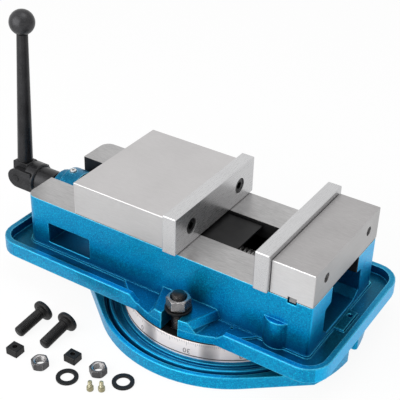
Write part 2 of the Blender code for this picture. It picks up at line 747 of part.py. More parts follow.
channel_floor_half = CHANNEL_HALF_WIDTH - CHANNEL_CHAMFER_WIDTH
channel_half = [
    (channel_floor_half, channel_floor),
    (CHANNEL_HALF_WIDTH, channel_wide_bottom),
    (CHANNEL_HALF_WIDTH, WAY_UNDERSIDE - WAY_UNDERCUT),
    (WAY_HALF_GAP, WAY_UNDERSIDE),
    (WAY_HALF_GAP, channel_top),
]
channel = outline(
    "channel_cutter",
    channel_half + [(-y, z) for y, z in reversed(channel_half)],
    BED_LEFT_X - LEDGE_WIDTH - OVERRUN,
    BED_RIGHT_X + SILL_LENGTH + OVERRUN,
    plane="YZ",
)
window = box(
    "window_cutter",
    (WINDOW_LEFT_X, -half_bed - OVERRUN, BED_BOTTOM + WINDOW_BOTTOM),
    (WINDOW_RIGHT_X, half_bed + OVERRUN, BED_BOTTOM + WINDOW_TOP),
)
pivot_bore = rod(
    "pivot_bore_cutter",
    PIVOT_RADIUS + GAP,
    (0, 0, BED_BOTTOM - OVERRUN),
    PIVOT_DEPTH_IN_BED + OVERRUN,
    steps=SMALL_STEPS,
)
drain = rod(
    "drain_cutter",
    DRAIN_RADIUS,
    (DRAIN_X, DRAIN_Y, BED_BOTTOM - OVERRUN),
    BED_HEIGHT,
    steps=TINY_STEPS,
)
speck = rod(
    "speck_cutter",
    SPECK_RADIUS,
    (SPECK_X, SPECK_Y, BED_BOTTOM - OVERRUN),
    BED_HEIGHT,
    steps=TINY_STEPS,
)
cut(vise_body, channel, window, pivot_bore, drain, speck)
for side, name in ((-1, "near"), (1, "far")):
    slot_centre = side * CLAMP_RADIUS
    slot_mouth = side * (PAD_RADIUS + OVERRUN)
    lug_slot = box(
        "lug_slot_cutter_" + name,
        (-LUG_SLOT_WIDTH / 2, min(slot_centre, slot_mouth), BED_BOTTOM - OVERRUN),
        (LUG_SLOT_WIDTH / 2, max(slot_centre, slot_mouth), LUG_SEAT + OVERRUN),
    )
    lug_slot_root = rod(
        "lug_slot_root_cutter_" + name,
        LUG_SLOT_WIDTH / 2,
        (0, slot_centre, BED_BOTTOM - OVERRUN),
        LUG_TOP + 2 * OVERRUN,
        steps=SMALL_STEPS,
    )
    jaw_bolt_hole = rod(
        "jaw_bolt_hole_cutter_" + name,
        JAW_BOLT_HOLE_RADIUS,
        (BOSS_X, side * BOSS_Y, BED_BOTTOM - OVERRUN),
        BED_HEIGHT + 2 * OVERRUN,
        steps=TINY_STEPS,
    )
    jaw_bolt_bore = rod(
        "jaw_bolt_bore_cutter_" + name,
        JAW_BOLT_BORE_RADIUS,
        (BOSS_X, side * BOSS_Y, BED_BOTTOM - OVERRUN),
        JAW_BOLT_BORE_DEPTH + OVERRUN,
        steps=TINY_STEPS,
    )
    keyway_inner = side * KEYWAY_INNER_Y
    keyway_outer = side * (half_bed + OVERRUN)
    keyway = box(
        "keyway_cutter_" + name,
        (KEY_LEFT_X, min(keyway_inner, keyway_outer), WAY_TOP - KEYWAY_DEPTH),
        (KEY_LEFT_X + KEYWAY_WIDTH, max(keyway_inner, keyway_outer), JAW_BOTTOM + KEYWAY_RISE),
    )
    cut(vise_body, lug_slot, lug_slot_root, jaw_bolt_hole, jaw_bolt_bore, keyway)

# Bearing housing of the screw, standing in the channel
housing_foot = channel_floor + GAP
screw_housing = turned(
    "screw_housing",
    [
        (0, HOUSING_RIGHT_X),
        (HOUSING_RADIUS, HOUSING_RIGHT_X),
        (HOUSING_RADIUS, HOUSING_LEFT_X + HOUSING_CHAMFER),
        (HOUSING_RADIUS - HOUSING_CHAMFER, HOUSING_LEFT_X),
        (0, HOUSING_LEFT_X),
    ],
    (0, 0, SCREW_Z),
    axis="X",
    look=CAST_BLUE,
)
housing_pedestal = box(
    "housing_pedestal_body",
    (HOUSING_LEFT_X + HOUSING_CHAMFER, -HOUSING_RADIUS + GAP, housing_foot),
    (HOUSING_RIGHT_X - GAP, HOUSING_RADIUS - GAP, SCREW_Z),
)
housing_bore = rod(
    "housing_bore_cutter",
    JOURNAL_RADIUS + RUNNING_GAP,
    (HOUSING_LEFT_X - OVERRUN, 0, SCREW_Z),
    HOUSING_RIGHT_X - HOUSING_LEFT_X + 2 * OVERRUN,
    axis="X",
    steps=SMALL_STEPS,
)
small_seat = SCREW_Z + HOUSING_RADIUS - SMALL_SCREW_SEAT_DROP
small_hole_depth = SMALL_SCREW_LENGTH + 2 * GAP
small_seat_cutter = rod(
    "small_seat_cutter",
    SMALL_SCREW_HEAD_RADIUS + 2 * GAP,
    (HOUSING_SCREW_X, 0, small_seat),
    OVERRUN,
    steps=SMALL_STEPS,
)
small_hole = rod(
    "small_hole_cutter",
    SMALL_SCREW_RADIUS + GAP,
    (HOUSING_SCREW_X, 0, small_seat - small_hole_depth),
    small_hole_depth + OVERRUN,
    steps=TINY_STEPS,
)
housing_underside = box(
    "housing_underside_cutter",
    (HOUSING_LEFT_X - OVERRUN, -HOUSING_RADIUS - OVERRUN, housing_foot - HOUSING_RADIUS),
    (HOUSING_RIGHT_X + OVERRUN, HOUSING_RADIUS + OVERRUN, housing_foot),
)
join(screw_housing, housing_pedestal)
cut(screw_housing, housing_underside, housing_bore, small_seat_cutter, small_hole)


def socket_screw(name, seat, axis, sizes, look, steps=SMALL_STEPS):
    """A socket screw. Its shank runs along -axis from the seat, and its head stands on it along +axis."""
    head_radius, head_length, radius, length, hexagon, hexagon_depth = sizes
    screw = turned(
        name,
        [
            (0, head_length),
            (head_radius - GAP, head_length),
            (head_radius, head_length - GAP),
            (head_radius, 0),
            (radius, 0),
            (radius, -length + GAP),
            (radius - GAP, -length),
            (0, -length),
        ],
        seat,
        axis,
        steps,
        look,
    )
    direction = {"X": Vector((1, 0, 0)), "Y": Vector((0, 1, 0)), "Z": Vector((0, 0, 1))}[axis]
    start = Vector(seat) + direction * (head_length - hexagon_depth)
    cut(screw, hex_prism(name + "_socket_cutter", hexagon, start, hexagon_depth + OVERRUN, axis))
    return screw


small_sizes = (
    SMALL_SCREW_HEAD_RADIUS,
    SMALL_SCREW_HEAD_LENGTH,
    SMALL_SCREW_RADIUS,
    SMALL_SCREW_LENGTH,
    SMALL_SCREW_HEX,
    SMALL_SCREW_HEX_DEPTH,
)
housing_screw = socket_screw(
    "housing_screw", (HOUSING_SCREW_X, 0, small_seat + GAP), "Z", small_sizes, BRASS, TINY_STEPS
)

# Screw with its shoulder, journal and hexagon end
shoulder_left = SHOULDER_RIGHT_X - SHOULDER_LENGTH
hexagon_left = HUB_RIGHT_X - HEX_LENGTH
lead_screw = turned(
    "lead_screw",
    [
        (0, SCREW_RIGHT_X),
        (SCREW_RADIUS - SCREW_CHAMFER, SCREW_RIGHT_X),
        (SCREW_RADIUS, SCREW_RIGHT_X - SCREW_CHAMFER),
        (SCREW_RADIUS, SHOULDER_RIGHT_X),
        (SHOULDER_RADIUS, SHOULDER_RIGHT_X),
        (SHOULDER_RADIUS, shoulder_left),
        (JOURNAL_RADIUS, shoulder_left),
        (JOURNAL_RADIUS, HUB_RIGHT_X + GAP),
        (0, HUB_RIGHT_X + GAP),
    ],
    (0, 0, SCREW_Z),
    axis="X",
    steps=SMALL_STEPS,
    look=STEEL,
)
hexagon = hex_prism(
    "hexagon_body", HEX_ACROSS_FLATS, (hexagon_left, 0, SCREW_Z), HEX_LENGTH + OVERRUN, axis="X"
)
join(lead_screw, hexagon)
thrust_left = HOUSING_RIGHT_X + GAP
thrust_bearing = turned(
    "thrust_bearing",
    ring_profile(JOURNAL_RADIUS + GAP, THRUST_RADIUS, thrust_left, thrust_left + THRUST_LENGTH, GAP),
    (0, 0, SCREW_Z),
    axis="X",
    steps=SMALL_STEPS,
    look=STEEL,
)
thrust_collar = turned(
    "thrust_collar",
    ring_profile(JOURNAL_RADIUS + GAP, COLLAR_RADIUS, HUB_RIGHT_X + GAP, CAP_LEFT_X - GAP, GAP),
    (0, 0, SCREW_Z),
    axis="X",
    steps=SMALL_STEPS,
    look=BLACK,
)
bearing_cap = turned(
    "bearing_cap",
    ring_profile(JOURNAL_RADIUS + RUNNING_GAP, CAP_RADIUS, CAP_LEFT_X, HOUSING_LEFT_X - GAP, CAP_EDGE),
    (0, 0, SCREW_Z),
    axis="X",
    steps=SMALL_STEPS,
    look=STEEL,
)

# Nut, with the horn that pulls the movable jaw through a half ball
nut_bottom = SCREW_Z - NUT_HEIGHT_BELOW
nut_top = SCREW_Z + NUT_HEIGHT_ABOVE
lead_nut = box(
    "lead_nut", (NUT_LEFT_X, -NUT_HALF_WIDTH, nut_bottom), (NUT_RIGHT_X, NUT_HALF_WIDTH, nut_top), STEEL
)
nut_neck = box(
    "nut_neck_body",
    (NUT_LEFT_X + GAP, -NUT_NECK_HALF_WIDTH, SCREW_Z),
    (NUT_RIGHT_X - GAP, NUT_NECK_HALF_WIDTH, TONGUE_BOTTOM - GAP),
)
lock_z = WAY_TOP + LOCK_ABOVE_WAYS
horn_top = WAY_TOP + HORN_TOP_ABOVE_WAYS
slope_offset = LOCK_X - lock_z


def horn_points(bottom, top, left, shift):
    """The horn's outline in XZ: its right side leans over at 45 degrees through the half ball's flat face."""
    return [
        (left, bottom),
        (bottom + slope_offset + shift, bottom),
        (top + slope_offset + shift, top),
        (left, top),
    ]


horn = outline(
    "horn_body",
    horn_points(nut_top, horn_top, HORN_LEFT_X, 0),
    -HORN_HALF_WIDTH,
    HORN_HALF_WIDTH,
    plane="XZ",
)
nut_bore = rod(
    "nut_bore_cutter",
    SCREW_RADIUS + RUNNING_GAP,
    (NUT_LEFT_X - OVERRUN, 0, SCREW_Z),
    NUT_RIGHT_X - NUT_LEFT_X + 2 * OVERRUN,
    axis="X",
    steps=SMALL_STEPS,
)
join(lead_nut, nut_neck, horn)
cut(lead_nut, nut_bore)
lock_shift = GAP * math.sqrt(2)
lock_centre = Vector((LOCK_X + lock_shift / 2, 0, lock_z - lock_shift / 2))


def ball(name, radius, centre, look=None, steps=SMALL_STEPS):
    bm = bmesh.new()
    bmesh.ops.create_uvsphere(bm, u_segments=steps, v_segments=steps // 2, radius=radius)
    mesh = bpy.data.meshes.new(name)
    bm.to_mesh(mesh)
    bm.free()
    obj = bpy.data.objects.new(name, mesh)
    obj.location = centre
    return finish(obj, look)


lock_segment = ball("lock_segment", LOCK_RADIUS, lock_centre, STEEL)
lock_side = box(
    "lock_half_cutter",
    (-2 * LOCK_RADIUS, -2 * LOCK_RADIUS, -2 * LOCK_RADIUS),
    (2 * LOCK_RADIUS, 2 * LOCK_RADIUS, 0),
)
lock_side.data.transform(Matrix.Translation((0, 0, -LOCK_RADIUS)))
lock_side.location = lock_centre
lock_side.rotation_euler = (0, math.radians(135), 0)
cut(lock_segment, lock_side)

# Movable jaw and its plate
half_jaw = JAW_WIDTH / 2
half_plate = PLATE_WIDTH / 2
movable_jaw = box(
    "movable_jaw",
    (MOVABLE_LEFT_X, -half_jaw, JAW_BOTTOM),
    (MOVABLE_BLOCK_RIGHT_X, half_jaw, WAY_TOP + MOVABLE_HEIGHT),
    MACHINED,
)
bevel(movable_jaw, BLOCK_EDGE)
tongue_half = WAY_HALF_GAP - TONGUE_SIDE_GAP
tongue = box(
    "tongue_body",
    (TONGUE_LEFT_X, -tongue_half, TONGUE_BOTTOM),
    (TONGUE_RIGHT_X, tongue_half, JAW_BOTTOM + OVERRUN),
)
horn_room = outline(
    "horn_room_cutter",
    horn_points(TONGUE_BOTTOM - OVERRUN, horn_top + 2 * GAP, HORN_LEFT_X - 2 * GAP, lock_shift + GAP),
    -HORN_HALF_WIDTH - 2 * GAP,
    HORN_HALF_WIDTH + 2 * GAP,
    plane="XZ",
)
lock_room = ball("lock_room_cutter", LOCK_RADIUS + GAP, lock_centre)
join(movable_jaw, tongue)
cut(movable_jaw, horn_room, lock_room)
movable_plate = box(
    "movable_jaw_plate",
    (MOVABLE_BACK_X, -half_plate, WAY_TOP + PLATE_LIFT),
    (MOVABLE_FACE_X, half_plate, WAY_TOP + PLATE_LIFT + PLATE_HEIGHT),
    MACHINED,
)
bevel(movable_plate, PLATE_EDGE)
chip_guard = box(
    "chip_guard",
    (TONGUE_RIGHT_X + GAP, -GUARD_HALF_WIDTH, WAY_TOP - GUARD_DROP - GUARD_THICKNESS),
    (GUARD_RIGHT_X, GUARD_HALF_WIDTH, WAY_TOP - GUARD_DROP),
    BLACK,
)

# Fixed jaw and its plate
fixed_jaw = box(
    "fixed_jaw",
    (FIXED_BLOCK_LEFT_X, -half_jaw, JAW_BOTTOM),
    (FIXED_RIGHT_X, half_jaw, WAY_TOP + FIXED_HEIGHT),
    MACHINED,
)
bevel(fixed_jaw, BLOCK_EDGE)
fixed_plate = box(
    "fixed_jaw_plate",
    (FIXED_FACE_X, -half_plate, WAY_TOP + PLATE_LIFT),
    (FIXED_BACK_X, half_plate, WAY_TOP + PLATE_LIFT + PLATE_HEIGHT),
    MACHINED,
)
bevel(fixed_plate, PLATE_EDGE)
plate_screw_sizes = (
    PLATE_SCREW_HEAD_RADIUS,
    PLATE_SCREW_HEAD_LENGTH,
    PLATE_SCREW_RADIUS,
    PLATE_SCREW_LENGTH,
    PLATE_SCREW_HEX,
    PLATE_SCREW_HEX_DEPTH,
)
jaw_nodes = []
for side, name in ((-1, "near"), (1, "far")):
    place_y = side * PLATE_SCREW_Y
    movable_seat = MOVABLE_FACE_X - COUNTERBORE_DEPTH
    movable_bore = rod(
        "movable_counterbore_cutter_" + name,
        COUNTERBORE_RADIUS,
        (movable_seat, place_y, PLATE_SCREW_Z),
        COUNTERBORE_DEPTH + OVERRUN,
        axis="X",
        steps=SMALL_STEPS,
    )
    movable_hole = rod(
        "movable_screw_hole_cutter_" + name,
        PLATE_SCREW_HOLE_RADIUS,
        (MOVABLE_FACE_X - BLOCK_HOLE_DEPTH - PLATE_THICKNESS, place_y, PLATE_SCREW_Z),
        BLOCK_HOLE_DEPTH + PLATE_THICKNESS + OVERRUN,
        axis="X",
        steps=TINY_STEPS,
    )
    cut(movable_plate, movable_bore, movable_hole)
    cut(movable_jaw, movable_hole)
    jaw_nodes.append(
        socket_screw(
            "movable_plate_screw_" + name,
            (movable_seat + GAP, place_y, PLATE_SCREW_Z),
            "X",
            plate_screw_sizes,
            BLACK,
        )
    )
    fixed_seat = FIXED_FACE_X + COUNTERBORE_DEPTH
    fixed_bore = rod(
        "fixed_counterbore_cutter_" + name,
        COUNTERBORE_RADIUS,
        (FIXED_FACE_X - OVERRUN, place_y, PLATE_SCREW_Z),
        COUNTERBORE_DEPTH + OVERRUN,
        axis="X",
        steps=SMALL_STEPS,
    )
    fixed_hole = rod(
        "fixed_screw_hole_cutter_" + name,
        PLATE_SCREW_HOLE_RADIUS,
        (FIXED_FACE_X - OVERRUN, place_y, PLATE_SCREW_Z),
        FIXED_RIGHT_X - FIXED_FACE_X + 2 * OVERRUN,
        axis="X",
        steps=TINY_STEPS,
    )
    cut(fixed_plate, fixed_bore, fixed_hole)
    cut(fixed_jaw, fixed_hole)
    # The fixed plate's screws are the movable plate's, turned half a turn about Z
    screw = socket_screw(
        "fixed_plate_screw_" + name,
        (fixed_seat - GAP, place_y, PLATE_SCREW_Z),
        "X",
        plate_screw_sizes,
        BLACK,
    )
    screw.data.transform(Matrix.Rotation(math.pi, 4, "X"))
    socket = cutters.objects["fixed_plate_screw_" + name + "_socket_cutter"]
    socket.location.x = fixed_seat - GAP - PLATE_SCREW_HEAD_LENGTH - OVERRUN
    jaw_nodes.append(screw)
    inner = side * KEY_INNER_Y
    outer = side * (half_bed - KEY_SETBACK)
    key_name = "fixed_jaw_key_" + name
    jaw_nodes.append(
        box(
            key_name,
            (KEY_LEFT_X + GAP, min(inner, outer), WAY_TOP - KEYWAY_DEPTH + GAP),
            (KEY_LEFT_X + KEYWAY_WIDTH - GAP, max(inner, outer), JAW_BOTTOM + KEYWAY_RISE - GAP),
            STEEL,
        )
    )
    jaw_keyway_inner = side * KEYWAY_INNER_Y
    jaw_keyway_outer = side * (half_jaw + OVERRUN)
    jaw_keyway = box(
        "jaw_keyway_cutter_" + name,
        (KEY_LEFT_X, min(jaw_keyway_inner, jaw_keyway_outer), JAW_BOTTOM - OVERRUN),
        (KEY_LEFT_X + KEYWAY_WIDTH, max(jaw_keyway_inner, jaw_keyway_outer), JAW_BOTTOM + KEYWAY_RISE),
    )
    bolt_seat = BED_BOTTOM + JAW_BOLT_BORE_DEPTH - GAP
    bolt_top = JAW_BOTTOM + JAW_BOLT_REACH
    bolt_room = rod(
        "jaw_bolt_room_cutter_" + name,
        JAW_BOLT_HOLE_RADIUS,
        (BOSS_X, side * BOSS_Y, JAW_BOTTOM - OVERRUN),
        JAW_BOLT_REACH + OVERRUN + 2 * GAP,
        steps=TINY_STEPS,
    )
    cut(fixed_jaw, jaw_keyway, bolt_room)
    jaw_nodes.append(
        turned(
            "fixed_jaw_bolt_" + name,
            [
                (0, bolt_top),
                (JAW_BOLT_RADIUS - GAP, bolt_top),
                (JAW_BOLT_RADIUS, bolt_top - GAP),
                (JAW_BOLT_RADIUS, bolt_seat),
                (JAW_BOLT_HEAD_RADIUS, bolt_seat),
                (JAW_BOLT_HEAD_RADIUS, bolt_seat - JAW_BOLT_HEAD_LENGTH),
                (0, bolt_seat - JAW_BOLT_HEAD_LENGTH),
            ],
            (BOSS_X, side * BOSS_Y, 0),
            steps=TINY_STEPS,
            look=BLACK,
        )
    )

# Crank: hub with a fork on the screw's hexagon, and the handle that folds on the fork's pin.
# It is modelled upright, and its empty leans it at the end
fork_root_x = CRANK_PIN_X + FORK_ROOT_DISTANCE
fork_right_x = fork_root_x + FORK_FLAT_LENGTH
crank_hub = turned(
    "crank_hub",
    [
        (0, HUB_RIGHT_X),
        (HUB_RADIUS, HUB_RIGHT_X),
        (HUB_RADIUS, BARREL_RIGHT_X),
        (BARREL_RADIUS - BARREL_CHAMFER, BARREL_RIGHT_X),
        (BARREL_RADIUS, BARREL_RIGHT_X - BARREL_CHAMFER),
        (BARREL_RADIUS, fork_root_x),
        (0, fork_root_x),
    ],
    (0, 0, SCREW_Z),
    axis="X",
    steps=SMALL_STEPS,
    look=BLACK,
)
quarter = math.pi / 2
fork_points = [
    *arc(CRANK_PIN_X, SCREW_Z, FORK_RADIUS, quarter, 3 * quarter, 2 * CORNER_STEPS),
    (fork_right_x, SCREW_Z - FORK_RADIUS),
    (fork_right_x, SCREW_Z + FORK_RADIUS),
]
fork_left_x = CRANK_PIN_X - FORK_RADIUS - OVERRUN
fork = outline("fork_body", fork_points, -FORK_HALF_WIDTH - GAP, FORK_HALF_WIDTH + GAP, plane="XZ")
fork_slot = box(
    "fork_slot_cutter",
    (fork_left_x, -FORK_SLOT_HALF_WIDTH, SCREW_Z - BARREL_RADIUS - OVERRUN),
    (fork_root_x, FORK_SLOT_HALF_WIDTH, SCREW_Z + BARREL_RADIUS + OVERRUN),
)
pin_hole = rod(
    "pin_hole_cutter",
    PIN_RADIUS + GAP,
    (CRANK_PIN_X, -FORK_HALF_WIDTH - OVERRUN, SCREW_Z),
    2 * FORK_HALF_WIDTH + 2 * OVERRUN,
    axis="Y",
    steps=TINY_STEPS,
)
hexagon_socket = hex_prism(
    "hexagon_socket_cutter",
    HEX_ACROSS_FLATS + 2 * GAP,
    (hexagon_left - GAP, 0, SCREW_Z),
    HEX_LENGTH + OVERRUN,
    axis="X",
)
flat_depth = BARREL_RADIUS - FORK_HALF_WIDTH + OVERRUN
fork_flats = [
    box(
        "fork_flat_cutter_" + name,
        (fork_left_x, start_y, SCREW_Z - BARREL_RADIUS - OVERRUN),
        (fork_right_x, start_y + flat_depth, SCREW_Z + BARREL_RADIUS + OVERRUN),
    )
    for name, start_y in (("near", -FORK_HALF_WIDTH - flat_depth), ("far", FORK_HALF_WIDTH))
]
join(crank_hub, fork)
cut(crank_hub, fork_slot, *fork_flats, pin_hole, hexagon_socket)
pin_length = 2 * (FORK_HALF_WIDTH + PIN_STAND_OUT)
handle_pin = rod(
    "handle_pin",
    PIN_RADIUS,
    (CRANK_PIN_X, -pin_length / 2, SCREW_Z),
    pin_length,
    axis="Y",
    steps=TINY_STEPS,
    look=STEEL,
)
knuckle_top = SCREW_Z + KNUCKLE_HEIGHT
knuckle_points = [
    *arc(CRANK_PIN_X, SCREW_Z, KNUCKLE_RADIUS, 2 * quarter, 4 * quarter, 2 * CORNER_STEPS),
    (CRANK_PIN_X + KNUCKLE_RADIUS, knuckle_top - KNUCKLE_EDGE),
    (CRANK_PIN_X + KNUCKLE_RADIUS - KNUCKLE_EDGE, knuckle_top),
    (CRANK_PIN_X - KNUCKLE_RADIUS + KNUCKLE_EDGE, knuckle_top),
    (CRANK_PIN_X - KNUCKLE_RADIUS, knuckle_top - KNUCKLE_EDGE),
]
handle_knuckle = outline(
    "handle_knuckle", knuckle_points, -KNUCKLE_HALF_WIDTH, KNUCKLE_HALF_WIDTH, BLACK, plane="XZ"
)
pin_eye = rod(
    "pin_eye_cutter",
    PIN_RADIUS + GAP,
    (CRANK_PIN_X, -KNUCKLE_HALF_WIDTH - OVERRUN, SCREW_Z),
    2 * (KNUCKLE_HALF_WIDTH + OVERRUN),
    axis="Y",
    steps=TINY_STEPS,
)
cut(handle_knuckle, pin_eye)
ball_centre_z = SCREW_Z + BALL_HEIGHT
ball_seat_z = ball_centre_z - math.sqrt(BALL_RADIUS**2 - BALL_SEAT_RADIUS**2)
handle_rod = rod(
    "handle_rod",
    ROD_BOTTOM_RADIUS,
    (CRANK_PIN_X, 0, knuckle_top + GAP),
    ball_seat_z - knuckle_top - 2 * GAP,
    look=BLACK,
    top_radius=ROD_TOP_RADIUS,
)
ball_knob = ball("ball_knob", BALL_RADIUS, (CRANK_PIN_X, 0, ball_centre_z), BLACK, KNOB_STEPS)
knob_flat = rod(
    "knob_flat_cutter",
    BALL_RADIUS,
    (CRANK_PIN_X, 0, ball_seat_z - BALL_RADIUS),
    BALL_RADIUS,
    steps=SMALL_STEPS,
)
cut(ball_knob, knob_flat)

# Clamping bolts, washers and nuts of the bed, and the loose table hardware
clamp_nut_bottom = LUG_SEAT + GAP + CLAMP_WASHER_THICKNESS + GAP
clamp_bolt_top = clamp_nut_bottom + CLAMP_NUT_HEIGHT + CLAMP_BOLT_ABOVE_NUT
clamp_head_top = T_HEAD_CEILING - CLAMP_HEAD_GAP


def drilled_nut(name, width, hole_radius, place, height, turn, look):
    nut = hex_prism(name, width, place, height, look=look, turn=turn)
    nut.data.set_sharp_from_angle(angle=math.radians(20))
    start = Vector(place) - Vector((0, 0, OVERRUN))
    crown_radius = width / math.sqrt(3)
    crown = turned(
        name + "_crown_cutter",
        [
            (width / 2, height + OVERRUN),
            (crown_radius + OVERRUN, height + OVERRUN),
            (crown_radius + OVERRUN, height - (crown_radius + OVERRUN - width / 2) / 2),
            (width / 2, height),
            (width / 2, height + OVERRUN),
        ],
        place,
        steps=SMALL_STEPS,
    )
    cut(nut, rod(name + "_hole_cutter", hole_radius, start, height + 2 * OVERRUN, steps=SMALL_STEPS), crown)
    return nut


clamp_nodes = []
nut_nodes = []
for side, name in ((-1, "near"), (1, "far")):
    place = (0, side * CLAMP_RADIUS, 0)
    clamp_bolt = turned(
        "clamp_bolt_" + name,
        disc_profile(
            CLAMP_BOLT_RADIUS,
            clamp_head_top - CLAMP_HEAD_HEIGHT / 2,
            clamp_bolt_top,
            CLAMP_BOLT_CHAMFER,
        ),
        place,
        steps=SMALL_STEPS,
        look=BLACK,
    )
    half_head = CLAMP_HEAD_WIDTH / 2
    head = box(
        "clamp_head_body_" + name,
        (-half_head, place[1] - half_head, clamp_head_top - CLAMP_HEAD_HEIGHT),
        (half_head, place[1] + half_head, clamp_head_top),
    )
    join(clamp_bolt, head)
    washer = turned(
        "clamp_washer_" + name,
        ring_profile(CLAMP_WASHER_HOLE_RADIUS, CLAMP_WASHER_RADIUS, 0, CLAMP_WASHER_THICKNESS, GAP),
        (0, place[1], LUG_SEAT + GAP),
        steps=SMALL_STEPS,
        look=BLACK,
    )
    nut = drilled_nut(
        "clamp_nut_" + name,
        CLAMP_NUT_WIDTH,
        CLAMP_BOLT_RADIUS + GAP,
        (0, place[1], clamp_nut_bottom),
        CLAMP_NUT_HEIGHT,
        0.0,
        STEEL,
    )
    clamp_nodes += [clamp_bolt, washer]
    nut_nodes.append(nut)

bolt_tilt = math.atan((TABLE_BOLT_HEAD_RADIUS - TABLE_BOLT_RADIUS) / TABLE_BOLT_LENGTH)
loose_nodes = []
for number, place_x, place_y, bolt_turn in (
    ("one", TABLE_BOLT_ONE_X, TABLE_BOLT_ONE_Y, TABLE_BOLT_ONE_TURN),
    ("two", TABLE_BOLT_TWO_X, TABLE_BOLT_TWO_Y, TABLE_BOLT_TWO_TURN),
):
    # The bolt lies on its head's rim and on the end of its shank. Its axis runs along -Y
    bolt = turned(
        "table_bolt_" + number,
        [
            (0, 0),
            (TABLE_BOLT_HEAD_RADIUS - 2 * GAP, 0),
            (TABLE_BOLT_HEAD_RADIUS, -2 * GAP),
            (TABLE_BOLT_HEAD_RADIUS, -TABLE_BOLT_HEAD_THICKNESS),
            (TABLE_BOLT_RADIUS, -TABLE_BOLT_HEAD_THICKNESS),
            (TABLE_BOLT_RADIUS, -TABLE_BOLT_HEAD_THICKNESS - TABLE_BOLT_LENGTH),
            (0, -TABLE_BOLT_HEAD_THICKNESS - TABLE_BOLT_LENGTH),
        ],
        (place_x, place_y, 0),
        axis="Y",
        steps=SMALL_STEPS,
        look=BLACK,
    )
    bolt.rotation_euler.x += bolt_tilt
    bolt.rotation_euler.z = bolt_turn
    rim_drop = TABLE_BOLT_HEAD_RADIUS * math.cos(bolt_tilt)
    head_drop = TABLE_BOLT_HEAD_THICKNESS * math.sin(bolt_tilt)
    bolt.location.z = rim_drop + head_drop
    loose_nodes.append(bolt)
for number, place_x, place_y in (
    ("one", TABLE_NUT_ONE_X, TABLE_NUT_ONE_Y),
    ("two", TABLE_NUT_TWO_X, TABLE_NUT_TWO_Y),
):
    loose_nodes.append(
        drilled_nut(
            "table_nut_" + number,
            TABLE_NUT_WIDTH,
            TABLE_NUT_HOLE_RADIUS,
            (place_x, place_y, 0),
            TABLE_NUT_HEIGHT,
            TABLE_NUT_TURN,
            STEEL,
        )
    )
for number, place_x, place_y in (
    ("one", TABLE_WASHER_ONE_X, TABLE_WASHER_ONE_Y),
    ("two", TABLE_WASHER_TWO_X, TABLE_WASHER_TWO_Y),
):
    loose_nodes.append(
        turned(
            "table_washer_" + number,
            ring_profile(TABLE_WASHER_HOLE_RADIUS, TABLE_WASHER_RADIUS, 0, TABLE_WASHER_THICKNESS, GAP),
            (place_x, place_y, 0),
            steps=SMALL_STEPS,
            look=BLACK,
        )
    )
for number, place_x, place_y in (
    ("one", TABLE_KEY_ONE_X, TABLE_KEY_ONE_Y),
    ("two", TABLE_KEY_TWO_X, TABLE_KEY_TWO_Y),
):
    key = box(
        "table_key_" + number,
        (place_x - TABLE_KEY_LENGTH / 2, place_y - TABLE_KEY_WIDTH / 2, 0),
        (place_x + TABLE_KEY_LENGTH / 2, place_y + TABLE_KEY_WIDTH / 2, TABLE_KEY_HEIGHT),
        BLACK,
    )
    bevel(key, TABLE_KEY_EDGE)
    key_hole = rod(
        "table_key_hole_cutter_" + number,
        TABLE_KEY_HOLE_RADIUS,
        (place_x, place_y, -OVERRUN),
        TABLE_KEY_HEIGHT + 2 * OVERRUN,
        steps=TINY_STEPS,
    )
    cut(key, key_hole)
    loose_nodes.append(key)
key_screw_sizes = (
    KEY_SCREW_HEAD_RADIUS,
    KEY_SCREW_HEAD_LENGTH,
    KEY_SCREW_RADIUS,
    KEY_SCREW_LENGTH,
    KEY_SCREW_HEX,
    KEY_SCREW_HEX_DEPTH,
)
for number, place_x, place_y in (
    ("one", KEY_SCREW_ONE_X, KEY_SCREW_ONE_Y),
    ("two", KEY_SCREW_TWO_X, KEY_SCREW_TWO_Y),
):
    # It stands on its head, so the shank points up
    screw = socket_screw(
        "key_screw_" + number,
        (place_x, place_y, KEY_SCREW_HEAD_LENGTH),
        "Z",
        key_screw_sizes,
        BRASS,
        TINY_STEPS,
    )
    screw.data.transform(Matrix.Rotation(math.pi, 4, "X"))
    socket = cutters.objects["key_screw_" + number + "_socket_cutter"]
    socket.location.z = -OVERRUN
    loose_nodes.append(screw)

# Each moving group follows an empty on its joint's axis
swivel_axis = empty("swivel_axis", (0, 0, 0))
bed_nodes = [
    centre_pivot,
    vise_body,
    screw_housing,
    housing_screw,
    bearing_cap,
    thrust_bearing,
    fixed_jaw,
    fixed_plate,
    *[node for node in jaw_nodes if not node.name.startswith("movable")],
    *clamp_nodes,
]
attach(swivel_axis, *bed_nodes)
jaw_travel = empty("jaw_travel", (MOVABLE_FACE_X, 0, WAY_TOP), swivel_axis)
attach(
    jaw_travel,
    movable_jaw,
    movable_plate,
    lead_nut,
    lock_segment,
    chip_guard,
    *[node for node in jaw_nodes if node.name.startswith("movable")],
)
screw_axis = empty("screw_axis", (HOUSING_LEFT_X, 0, SCREW_Z), swivel_axis)
attach(screw_axis, lead_screw, thrust_collar, crank_hub, handle_pin)
fold_axis = empty("fold_axis", (CRANK_PIN_X, 0, SCREW_Z), screw_axis)
attach(fold_axis, handle_knuckle, handle_rod, ball_knob)
for node in nut_nodes:
    nut_axis = empty(node.name + "_axis", node.location, swivel_axis)
    attach(nut_axis, node)
kit_place = empty("loose_kit", (0, 0, 0))
attach(kit_place, *loose_nodes)
crank_cutters = [
    fork,
    fork_slot,
    pin_hole,
    hexagon_socket,
    hexagon,
    pin_eye,
    knob_flat,
]
attach(screw_axis, *crank_cutters)
screw_axis.rotation_euler.x = -CRANK_LEAN
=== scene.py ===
"""Looks of a swivel milling vise: its finishes, eased edges, threads and the dial of its base."""
import json
import math

